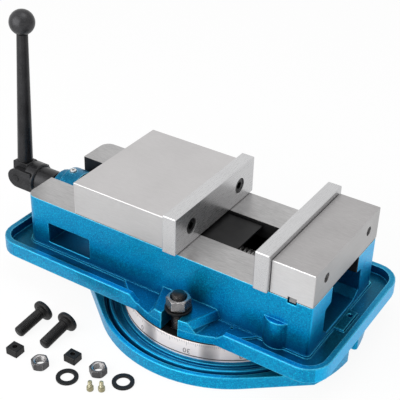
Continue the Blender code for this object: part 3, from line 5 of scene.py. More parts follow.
import bmesh
import bpy
import numpy as np
from mathutils import Matrix, Vector
from mathutils.geometry import intersect_point_line


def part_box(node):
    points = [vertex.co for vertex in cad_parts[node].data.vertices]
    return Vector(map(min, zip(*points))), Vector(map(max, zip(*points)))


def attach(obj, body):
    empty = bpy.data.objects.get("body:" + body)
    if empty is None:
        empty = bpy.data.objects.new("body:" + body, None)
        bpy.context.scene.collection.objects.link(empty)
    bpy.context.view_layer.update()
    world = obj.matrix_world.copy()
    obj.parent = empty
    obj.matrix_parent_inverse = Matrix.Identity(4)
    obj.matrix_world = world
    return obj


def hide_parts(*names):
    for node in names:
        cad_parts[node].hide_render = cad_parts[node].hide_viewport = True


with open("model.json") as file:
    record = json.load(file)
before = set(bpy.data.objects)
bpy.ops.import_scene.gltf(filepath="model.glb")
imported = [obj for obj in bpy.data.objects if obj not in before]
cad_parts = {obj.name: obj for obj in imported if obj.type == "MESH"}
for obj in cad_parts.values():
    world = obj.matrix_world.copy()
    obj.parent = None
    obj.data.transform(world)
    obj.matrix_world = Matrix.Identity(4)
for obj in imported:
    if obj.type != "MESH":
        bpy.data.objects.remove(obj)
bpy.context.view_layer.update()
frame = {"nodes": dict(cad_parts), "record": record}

MM = 0.001
bodies_of_nodes = {
    node: body
    for body, nodes in frame["record"]["behaviour"]["bodies"].items()
    for node in nodes
}


# Finishes
def tone(red, green, blue):
    """A screen colour of 0 to 255 as the linear colour of a shader."""
    shares = [value / 255 for value in (red, green, blue)]
    linear = [s / 12.92 if s <= 0.04045 else ((s + 0.055) / 1.055) ** 2.4 for s in shares]
    return (*linear, 1.0)


# Rays by which a mask looks for an edge or a pocket
MASK_SAMPLES = 6
# An edge shows in its mask from the first to the second value of 1 less the cosine of its turn
FLAT_TURN = 0.01
EDGE_TURN = 0.14
# The enamel turns pale with wear and a painted highlight within this reach of an edge, and darkens as
# painted shade within that of a corner
ENAMEL_WEAR_AND_HIGHLIGHT = 2.5 * MM
ENAMEL_SHADE_REACH = 22 * MM
# This stretch of the channel is blackened, fading out at both ends
DARK_STRETCH_MIDDLE = -6 * MM
DARK_STRETCH_HALF_LENGTH = 100 * MM
DARK_STRETCH_FADE = 16 * MM
DARK_STRETCH_TONE = tone(26, 25, 26)
# Ground steel is drawn out along its grain
GRAIN_STRETCH = 0.06
# The pale tone of ground steel's edges is a painted highlight
GROUND_EDGE_HIGHLIGHT_TONE = tone(214, 214, 214)
# Dark streaks of painted reflection run up the dial's wall, spread evenly round it and turned by this angle
PAINTED_REFLECTIONS = 10
PAINTED_REFLECTION_START = math.radians(67)
# A painted highlight along the edges of turned steel
TURNED_EDGE_HIGHLIGHT_TONE = tone(238, 234, 232)
RUB_AND_HIGHLIGHT_TONE = tone(120, 118, 116)


class Nodes:
    """A node tree with short calls for its nodes and links."""

    def __init__(self, tree):
        self.tree = tree

    def add(self, kind, feeds=None, **settings):
        node = self.tree.nodes.new(kind)
        for setting, value in settings.items():
            setattr(node, setting, value)
        for socket, value in (feeds or {}).items():
            self.feed(node.inputs[socket], value)
        return node

    def feed(self, socket, value):
        if isinstance(value, bpy.types.NodeSocket):
            self.tree.links.new(value, socket)
        else:
            socket.default_value = value

    def maths(self, operation, first, second=0.0, clamped=False):
        node = self.add("ShaderNodeMath", {0: first, 1: second}, operation=operation, use_clamp=clamped)
        return node.outputs[0]


class Finish(Nodes):
    """A surface finish whose patterns lie in the piece's own coordinates."""

    def __init__(self, name, metallic, **constants):
        self.material = bpy.data.materials.new(name)
        self.material.use_nodes = True
        super().__init__(self.material.node_tree)
        self.shader = self.tree.nodes["Principled BSDF"]
        self.shader.inputs["Metallic"].default_value = metallic
        for socket, value in constants.items():
            self.shader.inputs[socket.replace("_", " ")].default_value = value
        self.place = self.add("ShaderNodeTexCoord").outputs["Object"]

    def ranged(self, value, low, high, to_low=0.0, to_high=1.0):
        feeds = {"Value": value, "From Min": low, "From Max": high, "To Min": to_low, "To Max": to_high}
        return self.add("ShaderNodeMapRange", feeds).outputs["Result"]

    def noise(self, scale, detail, stretch=(1, 1, 1), place=None):
        """Noise with a spot about 1 / scale metres wide, drawn out where stretch is below 1."""
        mapped = self.add("ShaderNodeMapping", {"Vector": place or self.place, "Scale": stretch})
        feeds = {"Vector": mapped.outputs[0], "Scale": scale, "Detail": detail}
        return self.add("ShaderNodeTexNoise", feeds).outputs["Fac"]

    def mixed(self, share, first, second, blend="MIX"):
        node = self.add("ShaderNodeMix", {0: share, 6: first, 7: second}, data_type="RGBA", blend_type=blend)
        return node.outputs[2]

    def edge(self, radius):
        """1 along the edges and 0 on the flats, within radius of each edge."""
        rounded = self.add("ShaderNodeBevel", {"Radius": radius}, samples=MASK_SAMPLES).outputs[0]
        flat = self.add("ShaderNodeNewGeometry").outputs["Normal"]
        turn = self.add("ShaderNodeVectorMath", {0: rounded, 1: flat}, operation="DOT_PRODUCT")
        return self.ranged(self.maths("SUBTRACT", 1.0, turn.outputs["Value"]), FLAT_TURN, EDGE_TURN)

    def shade(self, distance):
        """1 in the open and less in corners and pockets."""
        feeds = {"Distance": distance}
        node = self.add("ShaderNodeAmbientOcclusion", feeds, samples=MASK_SAMPLES, only_local=True)
        return node.outputs["AO"]

    def done(self, colour, roughness, height=None, depth=0.1 * MM, strength=0.5):
        self.feed(self.shader.inputs["Base Color"], colour)
        self.feed(self.shader.inputs["Roughness"], roughness)
        if height is not None:
            feeds = {"Height": height, "Distance": depth, "Strength": strength}
            bump = self.add("ShaderNodeBump", feeds)
            self.feed(self.shader.inputs["Normal"], bump.outputs[0])
        return self.material


def speckled_enamel(name, deep, bright, fleck_tone, edge_highlight_and_wear_tone, painted_shade_tone, dark_stretch=False):
    """Thick metallic enamel on a casting: fine flakes, painted shade in pockets, and pale wear with a
    painted highlight along the outer edges.
    The last flag blackens it on the stretch of the channel where the nut runs."""
    enamel = Finish(name, 0.93, Coat_Weight=0.07, Coat_Roughness=0.14, IOR=1.5)
    flakes = enamel.ranged(enamel.noise(820, 2), 0.34, 0.66)
    orange_peel = enamel.ranged(enamel.noise(420, 2), 0.34, 0.66)
    cloud = enamel.ranged(enamel.noise(24, 3), 0.3, 0.7)
    share = enamel.maths("ADD", enamel.maths("MULTIPLY", flakes, 0.5), enamel.maths("MULTIPLY", cloud, 0.2))
    share = enamel.maths("ADD", share, enamel.maths("MULTIPLY", orange_peel, 0.3))
    colour = enamel.mixed(share, deep, bright)
    sparkle = enamel.ranged(enamel.noise(880, 1), 0.54, 0.68)
    colour = enamel.mixed(enamel.maths("MULTIPLY", sparkle, 0.6), colour, fleck_tone)
    # Painted shade: corners and pockets darken towards the pocket tone
    pocket = enamel.ranged(enamel.shade(ENAMEL_SHADE_REACH), 0.36, 0.92)
    shaded = enamel.mixed(pocket, painted_shade_tone, colour)
    # Wear and painted highlight: the outer edges turn pale towards the edge tone
    patches = enamel.ranged(enamel.noise(210, 3), 0.12, 0.42)
    edge_wear_and_highlight = enamel.maths("MULTIPLY", enamel.edge(ENAMEL_WEAR_AND_HIGHLIGHT), patches)
    edge_wear_and_highlight = enamel.maths("MULTIPLY", edge_wear_and_highlight, enamel.ranged(enamel.shade(2.4 * MM), 0.7, 0.88))
    colour = enamel.mixed(enamel.maths("MULTIPLY", edge_wear_and_highlight, 0.9), shaded, edge_highlight_and_wear_tone)
    if dark_stretch:
        along = enamel.add("ShaderNodeSeparateXYZ", {0: enamel.place}).outputs["X"]
        from_middle = enamel.maths("ABSOLUTE", enamel.maths("SUBTRACT", along, DARK_STRETCH_MIDDLE))
        beyond_stretch = enamel.ranged(from_middle, DARK_STRETCH_HALF_LENGTH, DARK_STRETCH_HALF_LENGTH + DARK_STRETCH_FADE)
        colour = enamel.mixed(beyond_stretch, DARK_STRETCH_TONE, colour)
    roughness = enamel.ranged(flakes, 0, 1, 0.32, 0.48)
    return enamel.done(colour, roughness, enamel.noise(760, 3), 0.12 * MM, 0.6)


def ground_metal(name, dark, light, grain_axis, rough=0.36, edge_highlight_and_wear_tone=GROUND_EDGE_HIGHLIGHT_TONE):
    """Surface-ground steel: a fine straight grain along one axis over a faint cloud, with a painted
    highlight along its edges.
    """
    steel = Finish(name, 0.85)
    stretch = [GRAIN_STRETCH if axis == grain_axis else 1.0 for axis in "XYZ"]
    fine = steel.noise(2400, 2, stretch)
    coarse = steel.noise(700, 2, stretch)
    cloud = steel.noise(16, 2)
    grain = steel.maths("ADD", steel.maths("MULTIPLY", fine, 0.8), steel.maths("MULTIPLY", coarse, 0.2))
    clouded = steel.maths("ADD", grain, steel.maths("MULTIPLY", cloud, 0.5))
    colour = steel.mixed(steel.ranged(clouded, 0.5, 1.0), dark, light)
    # Painted highlight: a faint pale line along the edges
    edge_wear_and_highlight = steel.maths("MULTIPLY", steel.edge(0.4 * MM), 0.25)
    colour = steel.mixed(edge_wear_and_highlight, colour, edge_highlight_and_wear_tone)
    roughness = steel.ranged(grain, 0.3, 0.7, rough - 0.06, rough + 0.06)
    return steel.done(colour, roughness, fine, 0.006 * MM, 0.05)


def turned_metal(name, dark, light, rough, metallic=1.0, painted_reflection_tone=None):
    """Steel turned about the swivel's axis: its grain runs round it. A streak tone darkens streaks of
    painted reflection up it, and its edges have a painted highlight.
    """
    steel = Finish(name, metallic)
    flat = {0: steel.place, 1: (1, 1, 0)}
    across = steel.add("ShaderNodeVectorMath", flat, operation="MULTIPLY").outputs[0]
    radius = steel.add("ShaderNodeVectorMath", {0: across}, operation="LENGTH").outputs["Value"]
    spot = steel.add("ShaderNodeSeparateXYZ", {0: steel.place}).outputs
    ring_place = steel.add("ShaderNodeCombineXYZ", {"X": radius, "Z": spot["Z"]}).outputs[0]
    fine = steel.noise(1900, 3, place=ring_place)
    stains = steel.noise(34, 4)
    share = steel.ranged(steel.maths("ADD", fine, steel.maths("MULTIPLY", stains, 0.7)), 0.6, 1.1)
    colour = steel.mixed(share, dark, light)
    # Painted reflection: dark streaks up the wall, spread round the axis
    if painted_reflection_tone:
        turn = steel.maths("ADD", steel.maths("ARCTAN2", spot["Y"], spot["X"]), PAINTED_REFLECTION_START)
        wave = steel.ranged(steel.maths("COSINE", steel.maths("MULTIPLY", turn, PAINTED_REFLECTIONS)), 0.5, 1.0)
        streak = steel.maths("MULTIPLY", wave, steel.ranged(stains, 0.2, 0.6, 0.5, 0.95))
        colour = steel.mixed(streak, colour, painted_reflection_tone)
    # Painted highlight: the edges turn pale
    colour = steel.mixed(steel.edge(0.8 * MM), colour, TURNED_EDGE_HIGHLIGHT_TONE)
    roughness = steel.ranged(fine, 0.3, 0.7, rough - 0.07, rough + 0.09)
    return steel.done(colour, roughness, fine, 0.03 * MM, 0.3)


def oxide_black(name, dark, light, rough, edge_highlight_and_wear_tone=RUB_AND_HIGHLIGHT_TONE, metallic=0.55):
    """Black oxide on steel: a satin film with a slightly pitted skin, pale at its edges from wear and a
    painted highlight.
    """
    oxide = Finish(name, metallic, IOR=1.5)
    skin = oxide.noise(900, 4)
    patches = oxide.noise(70, 4)
    share = oxide.ranged(oxide.maths("ADD", skin, patches), 0.75, 1.25)
    colour = oxide.mixed(share, dark, light)
    # Wear and painted highlight: pale patches along the edges
    edge_scuff_and_highlight = oxide.maths("MULTIPLY", oxide.edge(0.6 * MM), oxide.ranged(oxide.noise(240, 3), 0.42, 0.62))
    colour = oxide.mixed(oxide.maths("MULTIPLY", edge_scuff_and_highlight, 0.6), colour, edge_highlight_and_wear_tone)
    roughness = oxide.ranged(skin, 0.3, 0.7, rough - 0.08, rough + 0.1)
    return oxide.done(colour, roughness, skin, 0.05 * MM, 0.45)


def plain_metal(name, dark, light, rough, edge_highlight_and_wear_tone, metallic=0.85):
    """Bare turned or forged metal with a fine clouded sheen, darkened as painted shade inside bores and
    threads, with a painted highlight along its edges.
    """
    metal = Finish(name, metallic)
    cloud = metal.noise(900, 3)
    wide = metal.noise(90, 3)
    share = metal.ranged(metal.maths("ADD", cloud, wide), 0.65, 1.35)
    colour = metal.mixed(share, dark, light)
    # Painted shade: darker inside bores and threads
    inside = metal.ranged(metal.shade(8 * MM), 0.25, 0.8, 0.45, 1.0)
    colour = metal.mixed(1.0, colour, inside, "MULTIPLY")
    # Painted highlight: the edges turn pale
    colour = metal.mixed(metal.edge(0.5 * MM), colour, edge_highlight_and_wear_tone)
    roughness = metal.ranged(cloud, 0.3, 0.7, rough - 0.06, rough + 0.08)
    return metal.done(colour, roughness, cloud, 0.012 * MM, 0.12)


cast_blue = speckled_enamel(
    "cast_blue_enamel", deep=tone(0, 108, 162), bright=tone(0, 158, 208),
    fleck_tone=tone(0, 206, 240), edge_highlight_and_wear_tone=tone(84, 222, 248), painted_shade_tone=tone(0, 86, 134),
)
# Painted shade: a darker copy of the enamel for the screw housing and the bearing cap's side
housing_shade_blue = speckled_enamel(
    "housing_blue_enamel", deep=tone(4, 84, 122), bright=tone(10, 116, 156),
    fleck_tone=tone(50, 160, 196), edge_highlight_and_wear_tone=tone(120, 200, 226), painted_shade_tone=tone(2, 50, 78),
)
# Painted shade: a darker copy of the enamel for the trough's floor and the lugs' tops
trough_shade_blue = speckled_enamel(
    "trough_blue_enamel", deep=tone(0, 80, 106), bright=tone(4, 104, 136),
    fleck_tone=tone(14, 140, 176), edge_highlight_and_wear_tone=tone(84, 216, 244), painted_shade_tone=tone(0, 68, 94),
)
# Painted light: a lighter copy of the enamel for the bed's right end
end_lit_blue = speckled_enamel(
    "end_blue_enamel", deep=tone(0, 144, 208), bright=tone(4, 186, 240),
    fleck_tone=tone(10, 216, 248), edge_highlight_and_wear_tone=tone(100, 220, 248), painted_shade_tone=tone(0, 122, 180),
)
# Painted shade: a darker copy of the enamel for the rim's top
rim_shade_blue = speckled_enamel(
    "rim_blue_enamel", deep=tone(4, 100, 144), bright=tone(10, 140, 182),
    fleck_tone=tone(20, 176, 210), edge_highlight_and_wear_tone=tone(130, 226, 246), painted_shade_tone=tone(0, 80, 118),
)
# Painted shade: a darker copy of the enamel for the channel between the ways and the crank end's floor
channel_shade_blue = speckled_enamel(
    "channel_dark_primer", deep=tone(6, 92, 140), bright=tone(12, 122, 172),
    fleck_tone=tone(20, 136, 180), edge_highlight_and_wear_tone=tone(40, 146, 186), painted_shade_tone=tone(4, 64, 98), dark_stretch=True,
)
block_steel = ground_metal("block_ground_steel", tone(184, 182, 182), tone(197, 195, 195), "X")
block_side_steel = ground_metal("jaw_side_ground_steel", tone(183, 182, 182), tone(197, 196, 196), "X")
# Painted light and shade: the fixed jaw's sides are a lighter copy of its steel, its top and end darker
# copies
fixed_top_shade_steel = ground_metal("fixed_jaw_ground_steel", tone(156, 154, 154), tone(177, 175, 175), "X")
fixed_side_lit_steel = ground_metal("fixed_jaw_side_ground_steel", tone(196, 195, 195), tone(210, 209, 209), "X")
fixed_end_shade_steel = ground_metal("fixed_jaw_end_ground_steel", tone(160, 159, 159), tone(184, 183, 183), "Y")
plate_steel = ground_metal("plate_ground_steel", tone(188, 188, 189), tone(203, 203, 204), "Y", rough=0.3)
way_steel = ground_metal("way_ground_steel", tone(152, 151, 151), tone(192, 191, 191), "X")
# Bare steel of the ways' inner walls, darkened as painted shade
wall_shade_steel = ground_metal(
    "way_wall_steel", tone(44, 44, 45), tone(66, 66, 67), "X", rough=0.45, edge_highlight_and_wear_tone=tone(150, 150, 150)
)
dial_steel = turned_metal(
    "dial_turned_steel", tone(228, 219, 215), tone(250, 241, 237),
    rough=0.38, metallic=0.22, painted_reflection_tone=tone(126, 121, 120),
)
lip_steel = turned_metal(
    "lip_turned_steel", tone(168, 158, 160), tone(208, 198, 200), rough=0.34, metallic=0.6
)
# Painted shade: dark steel for the ring slot and the disc's top
slot_shade_steel = turned_metal("ring_slot_steel", tone(58, 56, 56), tone(84, 81, 80), rough=0.42)
cap_steel = turned_metal("bearing_cap_steel", tone(96, 72, 68), tone(140, 110, 104), rough=0.4)
crank_black = oxide_black("crank_black_oxide", tone(26, 26, 28), tone(45, 45, 47), rough=0.34)
knob_black = oxide_black("knob_black_oxide", tone(34, 34, 36), tone(62, 62, 64), rough=0.36)
bolt_black = oxide_black("bolt_black_oxide", tone(7, 7, 7), tone(21, 21, 22), rough=0.46)
# The studs' near-white edge tone is a painted highlight
stud_black = oxide_black(
    "stud_black_oxide", tone(8, 8, 9), tone(22, 22, 23), rough=0.42, edge_highlight_and_wear_tone=tone(226, 218, 214)
)
guard_black = oxide_black("guard_dark_sheet", tone(16, 16, 17), tone(31, 31, 32), rough=0.45)
socket_black = oxide_black("socket_screw_black", tone(9, 9, 10), tone(24, 24, 26), rough=0.34)
nut_steel = plain_metal(
    "nut_forged_steel", tone(56, 55, 56), tone(88, 87, 88),
    rough=0.42, edge_highlight_and_wear_tone=tone(176, 174, 174), metallic=0.8,
)
bore_steel = plain_metal(
    "nut_bore_steel", tone(104, 102, 102), tone(168, 166, 166),
    rough=0.3, edge_highlight_and_wear_tone=tone(200, 200, 200), metallic=0.75,
)
clamp_nut_steel = plain_metal(
    "clamp_nut_steel", tone(104, 103, 104), tone(142, 140, 140), rough=0.26, edge_highlight_and_wear_tone=tone(244, 242, 242)
)
bright_steel = plain_metal(
    "bright_screw_steel", tone(196, 195, 194), tone(236, 235, 234), rough=0.26, edge_highlight_and_wear_tone=tone(250, 250, 250)
)
horn_steel = plain_metal(
    "horn_plain_steel", tone(150, 149, 148), tone(192, 191, 190), rough=0.34, edge_highlight_and_wear_tone=tone(214, 214, 214)
)
key_steel = plain_metal(
    "key_plain_steel", tone(112, 111, 110), tone(158, 157, 156), rough=0.34, edge_highlight_and_wear_tone=tone(205, 205, 205)
)
screw_steel = plain_metal(
    "lead_screw_steel", tone(112, 111, 110), tone(164, 163, 162), rough=0.28, edge_highlight_and_wear_tone=tone(210, 210, 210)
)
pale_brass = plain_metal(
    "pale_brass", tone(120, 114, 84), tone(172, 166, 134),
    rough=0.4, edge_highlight_and_wear_tone=tone(226, 222, 196), metallic=0.6,
)
dial_ink = oxide_black(
    "dial_engraving_ink", tone(104, 101, 100), tone(134, 130, 129),
    rough=0.6, edge_highlight_and_wear_tone=tone(120, 118, 117), metallic=0.0,
)
# A painted shadow for the ring at the dial's foot
foot_shadow_finish = oxide_black(
    "dial_foot_shadow", tone(44, 42, 43), tone(70, 66, 68),
    rough=0.6, edge_highlight_and_wear_tone=tone(90, 86, 88), metallic=0.0,
)


# Meshes with eased edges
# Corners nearer than this are one, in a solid's copy and in a mesh that is made here
WELD = 0.06 * MM
SEAM = 0.001 * MM
# Faces that turn by less than the first angle are one flat, and by more than the second meet at an edge
FLAT_ANGLE = math.radians(0.3)
ROUND_ANGLE = math.radians(32)
EASED_STEPS = 2
# A rounding fills at most this share of the room beside its edge
ROOM_SHARE = 0.45
# Turns from one edge to the next, in radians. Flat edges that go straight on don't limit a rounding,
# sharp ones that run on share their width, and no turn counts as steeper than the steepest
STRAIGHT_ON = 0.2
RUN_ON = 0.6
STEEPEST = 2.9
LEAST_SPREAD = 0.01
# An edge lies across from another when the way to it leans along less than this cosine
ACROSS = 0.7


def merged(node):
    """A CAD node's loose triangles as one closed solid whose flat faces are whole."""
    source = frame["nodes"][node].data
    mesh = bpy.data.meshes.new(node + "_copy")
    corners = [corner.co.copy() for corner in source.vertices]
    mesh.from_pydata(corners, [], [list(face.vertices) for face in source.polygons])
    solid = bmesh.new()
    solid.from_mesh(mesh)
    bpy.data.meshes.remove(mesh)
    bmesh.ops.remove_doubles(solid, verts=solid.verts, dist=WELD)
    bmesh.ops.dissolve_limit(solid, angle_limit=FLAT_ANGLE, verts=solid.verts, edges=solid.edges)
    return solid


def is_sharp(edge):
    return len(edge.link_faces) == 2 and edge.calc_face_angle() > ROUND_ANGLE


def turn_at(corner, edge, beside):
    """The angle by which one edge turns into the next at their corner: 0 is straight on."""
    back = edge.other_vert(corner).co - corner.co
    return math.pi - back.angle(beside.other_vert(corner).co - corner.co)


def room_beside(edge, face):
    """The widest rounding that fits along one side of an edge, at its corners and across the face."""
    room = math.inf
    for corner in edge.verts:
        for beside in corner.link_edges:
            if beside is edge or face not in beside.link_faces:
                continue
            turn = turn_at(corner, edge, beside)
            length = beside.calc_length()
            if is_sharp(beside):
                spread = math.tan(min(turn, STEEPEST) / 2)
                room = min(room, ROOM_SHARE * min(length, edge.calc_length()) / max(spread, LEAST_SPREAD))
            elif turn > STRAIGHT_ON:
                room = min(room, ROOM_SHARE * length * math.sin(turn))
    ahead = (edge.verts[1].co - edge.verts[0].co).normalized()
    middle = (edge.verts[0].co + edge.verts[1].co) / 2
    for other in face.edges:
        if other.verts[0] in edge.verts or other.verts[1] in edge.verts:
            continue
        start, stop = (corner.co for corner in other.verts)
        share = intersect_point_line(middle, start, stop)[1]
        reach = start.lerp(stop, min(max(share, 0), 1)) - middle
        if abs(reach.normalized().dot(ahead)) < ACROSS:
            room = min(room, ROOM_SHARE * reach.length)
    return room


def run_of(edge, sharp):
    """The edge and all sharp edges that it runs on into, one after the other."""
    run = {edge}
    ahead = [edge]
    while ahead:
        edge = ahead.pop()
        for corner in edge.verts:
            for beside in corner.link_edges:
                if beside in sharp and beside not in run and turn_at(corner, edge, beside) < RUN_ON:
                    run.add(beside)
                    ahead.append(beside)
    return run


def weighted(solid, widest, width_at):
    """Marks each run of sharp edges with the share of the widest rounding that it gets and has room for."""
    layer = solid.edges.layers.float.new("bevel_weight_edge")
    sharp = {edge for edge in solid.edges if is_sharp(edge)}
    left = set(sharp)
    while left:
        run = run_of(left.pop(), sharp)
        left -= run
        room = min(room_beside(edge, face) for edge in run for face in edge.link_faces)
        width = min(room, *(width_at(edge) for edge in run))
        for edge in run:
            edge[layer] = width / widest


def plain_mesh(obj):
    """The object's evaluated shape as its own mesh, with no modifier left."""
    depsgraph = bpy.context.evaluated_depsgraph_get()
    mesh = bpy.data.meshes.new_from_object(obj.evaluated_get(depsgraph))
    obj.modifiers.clear()
    obj.data = mesh
    return mesh


def linked(name, mesh):
    obj = bpy.data.objects.new(name, mesh)
    bpy.context.scene.collection.objects.link(obj)
    return obj


def placed(obj, body, slot_name, *nodes):
    """The piece rides on its body and stands for the nodes, which it hides. slot_name is not used."""
    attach(obj, body)
    if nodes:
        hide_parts(*nodes)
    return obj


def cut_off(solid, point, direction):
    """Takes away what lies beyond the point in that direction, and closes the cut."""
    geometry = solid.verts[:] + solid.edges[:] + solid.faces[:]
    bmesh.ops.bisect_plane(solid, geom=geometry, plane_co=point, plane_no=direction, clear_outer=True)
    rim = [edge for edge in solid.edges if len(edge.link_faces) == 1]
    bmesh.ops.contextual_create(solid, geom=rim)


def eased(node, slot_name, finishes, width, choose=None, ends=None, width_at=None):
    """The node with its edges rounded, by width or by what width_at gives an edge below it.
    choose picks the number of a face's finish. ends is a point and a direction: the node stops there."""
    mesh = bpy.data.meshes.new(node + "_eased")
    solid = merged(node)
    if ends is not None:
        cut_off(solid, *ends)
    weighted(solid, width, width_at or (lambda edge: width))
    solid.to_mesh(mesh)
    solid.free()
    obj = linked(node + "_eased", mesh)
    bevel = obj.modifiers.new("rounded_edges", "BEVEL")
    bevel.width = width
    bevel.segments = EASED_STEPS
    bevel.limit_method = "WEIGHT"
    bevel.use_clamp_overlap = False
    bevel.harden_normals = True
    bevel.miter_outer = "MITER_ARC"
    mesh.shade_smooth()
    mesh = plain_mesh(obj)
    for finish in finishes:
        mesh.materials.append(finish)
    if choose is not None:
        for face in mesh.polygons:
            corners = [mesh.vertices[index].co / MM for index in face.vertices]
            face.material_index = choose(corners, face.normal)
    return placed(obj, bodies_of_nodes[node], slot_name, node)


def mean(values):
    values = list(values)
    return sum(values) / len(values)


def centre(node):
    low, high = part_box(node)
    return (low + high) / 2


def foot(node):
    """The middle of the underside of a node's box."""
    low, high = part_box(node)
    return (low.x + high.x) / 2, (low.y + high.y) / 2, low.z


# Bed, base, jaws and the other plain pieces
# The least part of a face's normal along an axis with which it faces that way, from strict to loose
SQUARELY = 0.7
ROUGHLY = 0.6
HALF_TURNED = 0.5
LEANING = 0.4
# Numbers of the bed's and the base's finishes
PAINT, WAY, WALL, CHANNEL, TROUGH, END, RIM = range(7)
FOOT_PAINT, DIAL, SLOT, LIP = range(4)
# Heights, half widths and places on the bed, in millimetres, that part its finishes and its edges
WAYS_FROM = 98
WALL_TOP = 98.9
BARE_WALL_FROM = 79
CHANNEL_HALF_WIDTH = 40.6
CHANNEL_FROM = 43.5
SEAT_BELOW = 32.6
CRANK_END_LEFT = -186
CRANK_END_RIGHT = -127
CRANK_END_HALF_WIDTH = 72
CRANK_END_BELOW = 48.5
TROUGH_FLOOR = (38, 43)
RIM_TOP = (48, 50)
LUG_TOP = (51, 54)
RIGHT_END_FROM = 120
WALL_FOOT = (41.5, 42.5)
LUG_FLANK_TOP = (52, 53)
LUG_FLANK = (15, 34)
# Heights and radii on the base, in millimetres, that part its finishes and its edges
DISC_TOP_FROM = 31
SLOT_RADIUS = 107.5
SLOT_ROOF_RADIUS = 105
DISC_RADIUS = 110
DIAL_FROM = 12
LIP_RADIUS = 114.2
LIP_FROM = 13.2
# Widths of the rounded edges
CAST_EASE = 0.9 * MM
LUG_EASE = 2.2 * MM
WAY_EASE = 0.4 * MM
WALL_FOOT_EASE = 0.05 * MM
DISC_EASE = 0.35 * MM
CAP_EASE = 0.6 * MM
BLOCK_EASE = 0.04 * MM
ROD_EASE = 0.4 * MM
KEY_EASE = 0.25 * MM
# The handle's rod is this much thicker than its solid, and the jaw keys sit deeper and are slimmer
ROD_SHARE = 1.075
KEY_INWARD = 1.2 * MM
KEY_SHARE = 0.78


def body_finish(corners, normal):
    """Ways and seat are ground. The walls between the ways are bare steel at the top, darkened as painted
    shade, and below them and on the crank end's floor a darker copy of the enamel is painted shade.
    The rest is painted, with painted shade on the trough's floor, the lugs' tops and the rim's top, and
    painted light on the bed's right end."""
    height = mean(corner.z for corner in corners)
    lowest = min(corner.z for corner in corners)
    aside = mean(abs(corner.y) for corner in corners)
    left = min(corner.x for corner in corners)
    right = max(corner.x for corner in corners)
    upward = normal.z > ROUGHLY
    level = normal.z > SQUARELY
    if upward and height > WAYS_FROM or normal.z < -ROUGHLY and height < SEAT_BELOW:
        return WAY
    if aside < CHANNEL_HALF_WIDTH and height < WALL_TOP and lowest > CHANNEL_FROM:
        return WALL if height > BARE_WALL_FROM else CHANNEL
    at_crank_end = CRANK_END_LEFT < left and right < CRANK_END_RIGHT and aside < CRANK_END_HALF_WIDTH
    if upward and at_crank_end and height < CRANK_END_BELOW:
        return CHANNEL
    if upward and TROUGH_FLOOR[0] < height < TROUGH_FLOOR[1] or level and LUG_TOP[0] < height < LUG_TOP[1]:
        return TROUGH
    if level and RIM_TOP[0] < height < RIM_TOP[1]:
        return RIM
    return END if normal.x > SQUARELY and left > RIGHT_END_FROM else PAINT


def body_width(edge):
    """Ground edges are broken finely, the flanks of the lugs roundly, and the casting in between."""
    low, high = sorted(corner.co.z / MM for corner in edge.verts)
    aside = min(abs(corner.co.x) / MM for corner in edge.verts)
    if WALL_FOOT[0] < low and high < WALL_FOOT[1] and not edge.is_convex:
        return WALL_FOOT_EASE
    if low > WAYS_FROM:
        return WAY_EASE
    if LUG_FLANK_TOP[0] < low and high < LUG_FLANK_TOP[1] and LUG_FLANK[0] < aside < LUG_FLANK[1]:
        return LUG_EASE
    return CAST_EASE


def base_width(edge):
    radius = max(math.hypot(*corner.co.xy) for corner in edge.verts) / MM
    return DISC_EASE if radius < DISC_RADIUS else CAST_EASE


def base_finish(corners, normal):
    """The graduated disc is turned steel, its ring slot and its top are dark steel as painted shade, and the
    foot is painted.
    """
    radius = mean(math.hypot(corner.x, corner.y) for corner in corners)
    height = mean(corner.z for corner in corners)
    in_slot = radius < SLOT_RADIUS and height < DISC_TOP_FROM
    slot_roof = radius < SLOT_ROOF_RADIUS and normal.z < -HALF_TURNED
    disc_top = height > DISC_TOP_FROM and normal.z > SQUARELY
    if in_slot or slot_roof or disc_top:
        return SLOT
    if radius < DISC_RADIUS and height > DIAL_FROM:
        return DIAL
    if radius < LIP_RADIUS and height > LIP_FROM and normal.z > LEANING:
        return LIP
    return FOOT_PAINT


def cap_finish(corners, normal):
    """Paint runs over the cap's side, and its end is bare."""
    return 1 if normal.x < -HALF_TURNED else 0


def jaw_finish(corners, normal):
    """The jaw's top, its sides and its end take separate copies of ground steel, and on the fixed jaw their
    tones are painted light and shade: lighter sides, a darker top and a darker end.
    """
    if abs(normal.y) > SQUARELY:
        return 1
    return 2 if normal.x > SQUARELY else 0


def set_back(node, slot_name, finish, inward, slimmer):
    """The node slimmer by a share and drawn in along Y by inward, so that its keyway shows round it."""
    piece = eased(node, slot_name, [finish], KEY_EASE)
    core = Matrix.Translation(centre(node))
    slim = Matrix.Diagonal((slimmer, 1, slimmer, 1))
    piece.data.transform(Matrix.Translation((0, inward, 0)) @ core @ slim @ core.inverted())


def thicker(piece, start, stop, share):
    """Widens a piece about the line from start to stop."""
    along = Matrix.Translation(start) @ (stop - start).to_track_quat("Z", "Y").to_matrix().to_4x4()
    piece.data.transform(along @ Matrix.Diagonal((share, share, 1, 1)) @ along.inverted())


